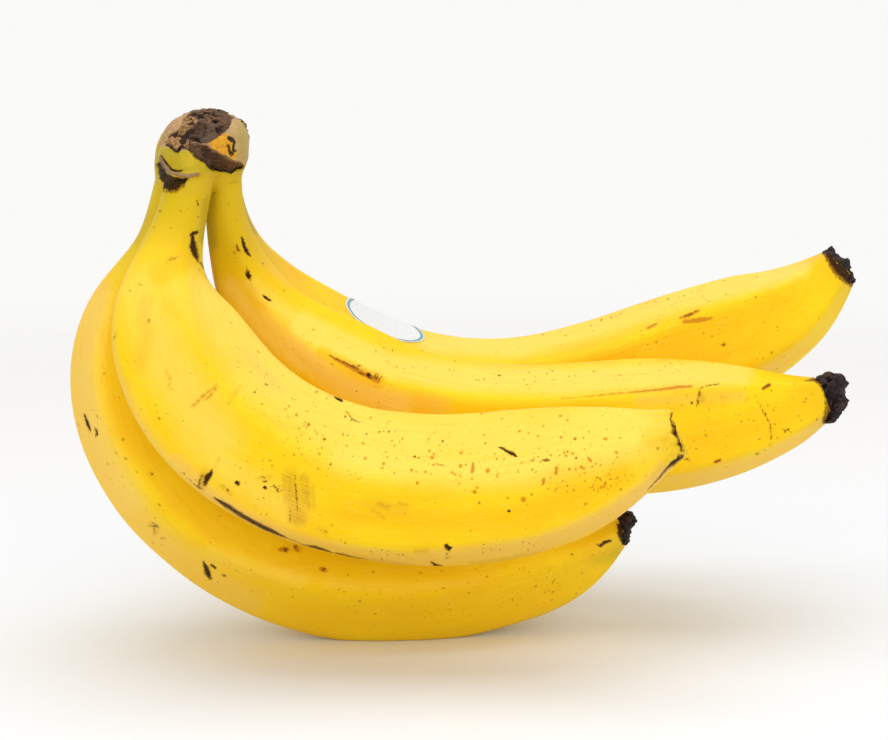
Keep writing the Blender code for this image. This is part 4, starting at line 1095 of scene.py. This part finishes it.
def build_crown():
    field = crown_field()
    places, faces = shell(field, (-81.5, 5.0, 122.0), (-50.0, 44.0, 153.5), 0.32)
    uv = seen(places)
    front = smooth((30.0 - places[:, 1]) / 9.0)
    back = 1 - front
    warp = uv + 1.6 * np.stack([noise(places, 1.7, 51), noise(places, 1.7, 52)], 1)

    def area(corners, soft=2.0):
        return np.clip(0.5 + inside(warp, corners) / (2 * soft), 0, 1)

    def line(points, width):
        return np.exp(-(from_line(warp, points) / width) ** 2)

    front_cup = smooth((24.0 - places[:, 1]) / 5.0)
    top = smooth((places[:, 2] - 140.5) / 3.5)
    bark = np.zeros((len(places), 4))
    bark[:, 0] = np.maximum.reduce([area(TORN), area(UNDER) * front, back * top])
    bent = places + 0.8 * np.stack([noise(places, 1.3, 53), noise(places, 1.3, 54), noise(places, 1.3, 55)], 1)
    pits = smooth((noise(bent, 2.1, 45) + 0.35 * noise(places, 0.8, 56) - 0.10) / 0.4)
    bark[:, 1] = np.clip(np.maximum.reduce([
        0.42 * area(HOLLOW, 3.0) + 0.62 * pits * area(TORN), 1.0 * area(CUP, 1.2) * front_cup,
        # painted shade under the lip: the dark line below its rim (UNDER_EDGE), and on the next line the darkened
        # middle of the hollow under it (UNDER)
        0.62 * line(UNDER_EDGE, 2.0) * front, 0.80 * line(CUP_TEAR, 1.3) * front_cup,
        0.45 * area(UNDER, 3.0) * front * smooth((uv[:, 0] - 196) / 8) * smooth((236 - uv[:, 0]) / 10),
        0.72 * line(ORANGE_DARK, 2.6) * front, 0.66 * line(ORANGE_DARK_2, 2.4) * front,
        0.7 * back * top * pits]), 0, 1)
    bark[:, 2] = np.maximum(area(TAWNY), back * smooth((noise(places, 5.0, 47)) / 0.5) * smooth((places[:, 2] - 136) / 3))
    bark[:, 3] = area(GREY)
    rind = np.zeros((len(places), 4))
    rind[:, 0] = area(ORANGE_PATCH) * front
    rind[:, 1] = np.maximum(area(CAP, 1.2) * front, back * smooth((places[:, 2] - 134.0) / 4.0))
    # painted highlight along the raised lips of the cap and the cup
    rind[:, 2] = np.clip(np.maximum(0.9 * line(LIP, 1.6) * front, 0.85 * line(CUP_LIP, 2.6) * front_cup), 0, 1)
    rind[:, 3] = smooth((137.0 - places[:, 2]) / 8.0)
    obj = make_object("crown_bark", places, faces, CROWN)
    carry(obj.data, "straight", places)
    carry(obj.data, "bark", bark)
    carry(obj.data, "rind", rind)
    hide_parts("crown")
    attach(obj, "root")


CROWN = crown_material()
build_crown()

# the dried flower ends: the finger they sit on, and lumps as centre in the
# frame, depth beside the tip, and radii in mm
DRIED = {
    "flower_end_lower": ("finger_lower", [
        (628.5, 515.5, 0, (1.7, 3.0, 1.1)), (625.5, 521, 0, (2.7, 4.2, 2.3)), (632.6, 520, -0.5, (1.0, 2.2, 1.1)),
        (621.5, 529, 0, (2.6, 4.8, 3.2)), (623, 538, 0, (1.8, 4.0, 2.0)), (619, 533, 0, (2.0, 4.4, 2.9))]),
    "flower_end_middle": ("finger_middle", [
        (822, 382, 0, (2.2, 4.0, 1.9)), (829, 377.5, 0.6, (1.9, 3.6, 1.3)), (838, 381.5, 0, (2.2, 3.4, 1.8)),
        (843.4, 383, -0.4, (1.0, 2.0, 1.3)), (830, 391, 0, (3.4, 5.4, 4.0)), (835.5, 402.5, 0, (2.9, 5.2, 3.2)),
        (842.8, 401.4, -0.5, (1.4, 2.6, 1.6)), (830.6, 412, 0, (2.3, 4.6, 2.7)), (827, 419.6, 0, (1.1, 3.0, 1.1)),
        (840, 391, 1.5, (1.5, 2.4, 1.4))]),
    "flower_end_back": ("finger_back", [
        (831, 251.5, 0, (1.3, 3.4, 1.4)), (828.6, 256.5, 0, (1.5, 4.2, 2.0)), (834.6, 262, 0, (2.2, 5.0, 2.3)),
        (844.2, 264.4, -0.6, (1.7, 2.8, 1.8)), (839.8, 267, 0, (2.9, 5.4, 2.8)), (847.4, 275.6, 0, (1.8, 4.8, 1.8)),
        (851.8, 280, 0, (1.0, 3.2, 1.0))]),
}


def dried_material():
    g = Graph("dried")
    where = g.field("straight", "Vector")
    crest = g.field("crest", "Fac")
    grain, _ = g.cloud(where, 1.4, 4.0, 0.65)
    fine, _ = g.cloud(where, 4.5, 3.0, 0.65)
    # painted highlight: the crests that stand out are lighter
    high = g.step(g.maths("ADD", crest, g.maths("MULTIPLY", g.maths("SUBTRACT", grain, 0.5), 0.8)), 0.35, 0.95)
    colour = g.mix(g.step(grain, 0.3, 0.7), (0.004, 0.002, 0.002), (0.016, 0.008, 0.007))
    colour = g.mix(g.maths("MULTIPLY", high, 0.55), colour, (0.085, 0.046, 0.038))
    colour = g.mix(g.maths("MULTIPLY", g.step(fine, 0.62, 0.8), 0.35), colour, (0.150, 0.085, 0.060))
    g.put(g.shader.inputs["Base Color"], colour)
    g.put(g.shader.inputs["Roughness"], g.step(fine, 0.2, 0.8, (0.45, 0.80)))
    g.put(g.shader.inputs["Normal"], g.bump(g.maths("ADD", grain, fine), 0.00022, 0.9))
    g.shader.inputs["Specular IOR Level"].default_value = 0.22
    return g.material


DRIED_MATERIAL = dried_material()


def build_dried(name, seed):
    finger, lumps = DRIED[name]
    depth = FINGERS[finger]["path"][-1][1]
    parts = [(at(u, v, depth + dy), np.array(r)) for u, v, dy, r in lumps]

    def relief(p):
        return 0.42 * noise(p, 1.5, seed) + 0.30 * noise(p, 0.8, seed + 1) + 0.10 * noise(p, 0.42, seed + 2)

    def field(p):
        value = blob(p, *parts[0])
        for part in parts[1:]:
            value = melt(value, blob(p, *part), 0.55)
        near = np.nonzero(np.abs(value) < 1.2)[0]
        if len(near):
            value[near] -= relief(p[near])
        return value

    low = np.min([c - r for c, r in parts], axis=0) - 1.2
    high = np.max([c + r for c, r in parts], axis=0) + 1.2
    places, faces = shell(field, low, high, 0.2)
    obj = make_object(name + "_crust", places, faces, DRIED_MATERIAL)
    carry(obj.data, "straight", places)
    # how far each point stands out, for the painted highlight on the crests
    layer = obj.data.attributes.new("crest", "FLOAT", "POINT")
    layer.data.foreach_set("value", np.clip(0.5 + relief(places), 0, 1).astype(np.float32))
    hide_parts(name)
    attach(obj, "root")


for number, end_name in enumerate(DRIED):
    build_dried(end_name, 61 + 5 * number)


# ------------------------------------------------------------------- sticker
def sticker_material():
    g = Graph("sticker")
    where = g.field("disc", "Vector")
    radius = g.node("ShaderNodeVectorMath", operation="LENGTH")
    g.put(radius.inputs[0], where)
    fibre, _ = g.cloud(where, 14.0, 3.0, 0.6)
    wave, _ = g.cloud(where, 2.2, 2.0, 0.5)
    out = radius.outputs["Value"]
    band = g.maths("MULTIPLY", g.step(out, 0.885, 0.900), g.step(out, 0.970, 0.955))
    paper = g.mix(g.step(fibre, 0.35, 0.7), (0.720, 0.735, 0.735), (0.790, 0.800, 0.790))
    ink = g.mix(g.step(fibre, 0.35, 0.75), (0.150, 0.300, 0.310), (0.190, 0.360, 0.365))
    g.put(g.shader.inputs["Base Color"], g.mix(band, paper, ink))
    g.put(g.shader.inputs["Roughness"], g.step(wave, 0.3, 0.7, (0.28, 0.40)))
    g.put(g.shader.inputs["Normal"], g.bump(g.maths("ADD", wave, g.maths("MULTIPLY", fibre, 0.15)), 0.00015, 0.6))
    g.shader.inputs["Specular IOR Level"].default_value = 0.35
    return g.material


def build_sticker():
    f = FINGERS[LABEL["finger"]] if "finger" in LABEL else FINGERS["finger_back"]
    length = spline(f["path"], [0.0])[1]
    q0, angle = LABEL["along"], math.radians(LABEL["angle"])
    half_long, half_wide = LABEL["half_length"], LABEL["half_width"]
    radius = float(np.interp(q0, np.linspace(0, 1, 200), spline(f["path"], np.linspace(0, 1, 200))[0][:, 3]))
    reach_q, reach_t = 1.02 * half_long / length, 1.02 * half_wide / radius
    n = 90
    qs = np.linspace(q0 - reach_q, q0 + reach_q, n)
    ts = np.linspace(angle - reach_t, angle + reach_t, n)
    low_sheet, _ = skin(f, qs, ts, lift=0.10, seed=SEEDS["finger_back"])
    high_sheet, _ = skin(f, qs, ts, lift=0.34, seed=SEEDS["finger_back"])

    def sample(sheet, a, b):
        x, y = (a / 1.02 + 1) * 0.5 * (n - 1), (b / 1.02 + 1) * 0.5 * (n - 1)
        i, j = np.minimum(x.astype(int), n - 2), np.minimum(y.astype(int), n - 2)
        u, v = (x - i)[..., None], (y - j)[..., None]
        return ((sheet[i, j] * (1 - u) + sheet[i + 1, j] * u) * (1 - v)
                + (sheet[i, j + 1] * (1 - u) + sheet[i + 1, j + 1] * u) * v)

    rings, around = 22, 110
    t = np.linspace(0, 2 * math.pi, around, endpoint=False)
    r = np.linspace(1.0 / rings, 1.0, rings)
    a, b = r[:, None] * np.cos(t), r[:, None] * np.sin(t)
    lift = 0.10 * np.sin(3 * t + 0.7) * smooth((r[:, None] - 0.7) / 0.3)
    top = sample(high_sheet, a, b)
    away = top - sample(low_sheet, a, b)
    top = top + away * lift[..., None] / 0.24
    bottom = sample(low_sheet, a, b)
    places = np.concatenate([top.reshape(-1, 3), bottom.reshape(-1, 3),
                             sample(high_sheet, np.zeros(1), np.zeros(1)), sample(low_sheet, np.zeros(1), np.zeros(1))])
    disc = np.stack([a, b, np.zeros_like(a)], -1).reshape(-1, 3)
    disc = np.concatenate([disc, disc, np.zeros((2, 3))])
    total = rings * around
    faces = []
    for j in range(around):
        k = (j + 1) % around
        for i in range(rings - 1):
            faces.append((i * around + j, (i + 1) * around + j, (i + 1) * around + k, i * around + k))
            faces.append((total + i * around + k, total + (i + 1) * around + k, total + (i + 1) * around + j, total + i * around + j))
        edge = (rings - 1) * around
        faces.append((edge + j, total + edge + j, total + edge + k, edge + k))
        faces.append((2 * total, j, k))
        faces.append((2 * total + 1, total + k, total + j))
    obj = make_object("sticker", places, faces, sticker_material())
    carry(obj.data, "disc", disc)
    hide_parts("label")
    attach(obj, "root")


build_sticker()


# ------------------------------------------------------------------- studio
def studio():
    scene = bpy.context.scene
    g = Graph("floor")
    g.shader.inputs["Roughness"].default_value = 0.75
    g.shader.inputs["Specular IOR Level"].default_value = 0.2
    place = g.node("ShaderNodeTexCoord").outputs["Object"]
    apart = g.node("ShaderNodeVectorMath", operation="LENGTH")
    g.put(apart.inputs[0], place)
    mottled, _ = g.cloud(place, 3.0, 2.0)
    # painted light: the floor is bluer and a little darker near the hand to cancel the yellow light bounced off the
    # fruit, and warmer and brighter further out
    g.put(g.shader.inputs["Base Color"], g.mix(g.step(apart.outputs["Value"], 0.08, 0.42),
                                                        g.mix(mottled, (0.822, 0.850, 0.880), (0.836, 0.864, 0.894)),
                                                        g.mix(mottled, (0.865, 0.852, 0.842), (0.880, 0.867, 0.857))))
    fade = g.step(apart.outputs["Value"], 0.28, 1.0)
    clear = g.node("ShaderNodeBsdfTransparent")
    both = g.node("ShaderNodeMixShader")
    g.put(both.inputs[0], fade)
    g.put(both.inputs[1], g.shader.outputs[0])
    g.put(both.inputs[2], clear.outputs[0])
    g.put(g.tree.nodes["Material Output"].inputs[0], both.outputs[0])
    bm = bmesh.new()
    rings = [0.0, 0.3, 0.6, 1.0, 1.6, 2.5]
    around = [[bm.verts.new((r * math.cos(a), r * math.sin(a), 0)) for a in np.linspace(0, 2 * math.pi, 64, endpoint=False)]
              for r in rings[1:]]
    hub = bm.verts.new((0, 0, 0))
    for j in range(64):
        k = (j + 1) % 64
        bm.faces.new((hub, around[0][j], around[0][k]))
        for a, b in zip(around, around[1:]):
            bm.faces.new((a[j], b[j], b[k], a[k]))
    mesh = bpy.data.meshes.new("floor")
    bm.to_mesh(mesh)
    bm.free()
    mesh.materials.append(g.material)
    floor = bpy.data.objects.new("floor", mesh)
    floor.location.z = -0.00005
    scene.collection.objects.link(floor)

    world = bpy.data.worlds.new("studio")
    scene.world = world
    world.use_nodes = True
    tree = world.node_tree
    light = tree.nodes["Background"]
    light.inputs["Color"].default_value = (1.0, 0.995, 0.985, 1)
    light.inputs["Strength"].default_value = 0.78
    shown = tree.nodes.new("ShaderNodeBackground")
    shown.inputs["Color"].default_value = (0.960, 0.955, 0.945, 1)
    shown.inputs["Strength"].default_value = 1.0
    path = tree.nodes.new("ShaderNodeLightPath")
    mix = tree.nodes.new("ShaderNodeMixShader")
    tree.links.new(path.outputs["Is Camera Ray"], mix.inputs[0])
    tree.links.new(light.outputs[0], mix.inputs[1])
    tree.links.new(shown.outputs[0], mix.inputs[2])
    tree.links.new(mix.outputs[0], tree.nodes["World Output"].inputs[0])

    def softbox(name, place, aim, size, watts):
        lamp = bpy.data.lights.new(name, "AREA")
        lamp.shape, lamp.size, lamp.size_y, lamp.energy = "RECTANGLE", size[0], size[1], watts
        obj = bpy.data.objects.new(name, lamp)
        obj.location = place
        obj.rotation_euler = (Vector(aim) - Vector(place)).to_track_quat("-Z", "Y").to_euler()
        scene.collection.objects.link(obj)
        return obj

    softbox("overhead", (0.0, -0.05, 1.15), (0, 0, 0.05), (1.2, 1.0), 5.6)
    softbox("front_left", (-0.5, -1.2, 0.9), (0, 0, 0.06), (0.9, 0.9), 1.9)
    softbox("front_right", (0.7, -1.1, 0.8), (0, 0, 0.06), (0.9, 0.9), 1.7)
    softbox("front_low", (0.0, -1.25, 0.35), (0, 0, 0.03), (1.2, 0.5), 2.0)

    cam = bpy.data.cameras.new("viewpoint")
    cam.sensor_fit = "HORIZONTAL"
    cam.sensor_width = 36.0
    cam.lens = FOCAL / 888.0 * 36.0
    cam.clip_start, cam.clip_end = 0.01, 50.0
    eye = bpy.data.objects.new("viewpoint", cam)
    eye.location = to_world(EYE)
    eye.rotation_euler = (math.pi / 2 - DOWN, 0, 0)
    scene.collection.objects.link(eye)
    scene.camera = eye
    scene.view_settings.view_transform = "Standard"
    scene.view_settings.look = "None"


studio()
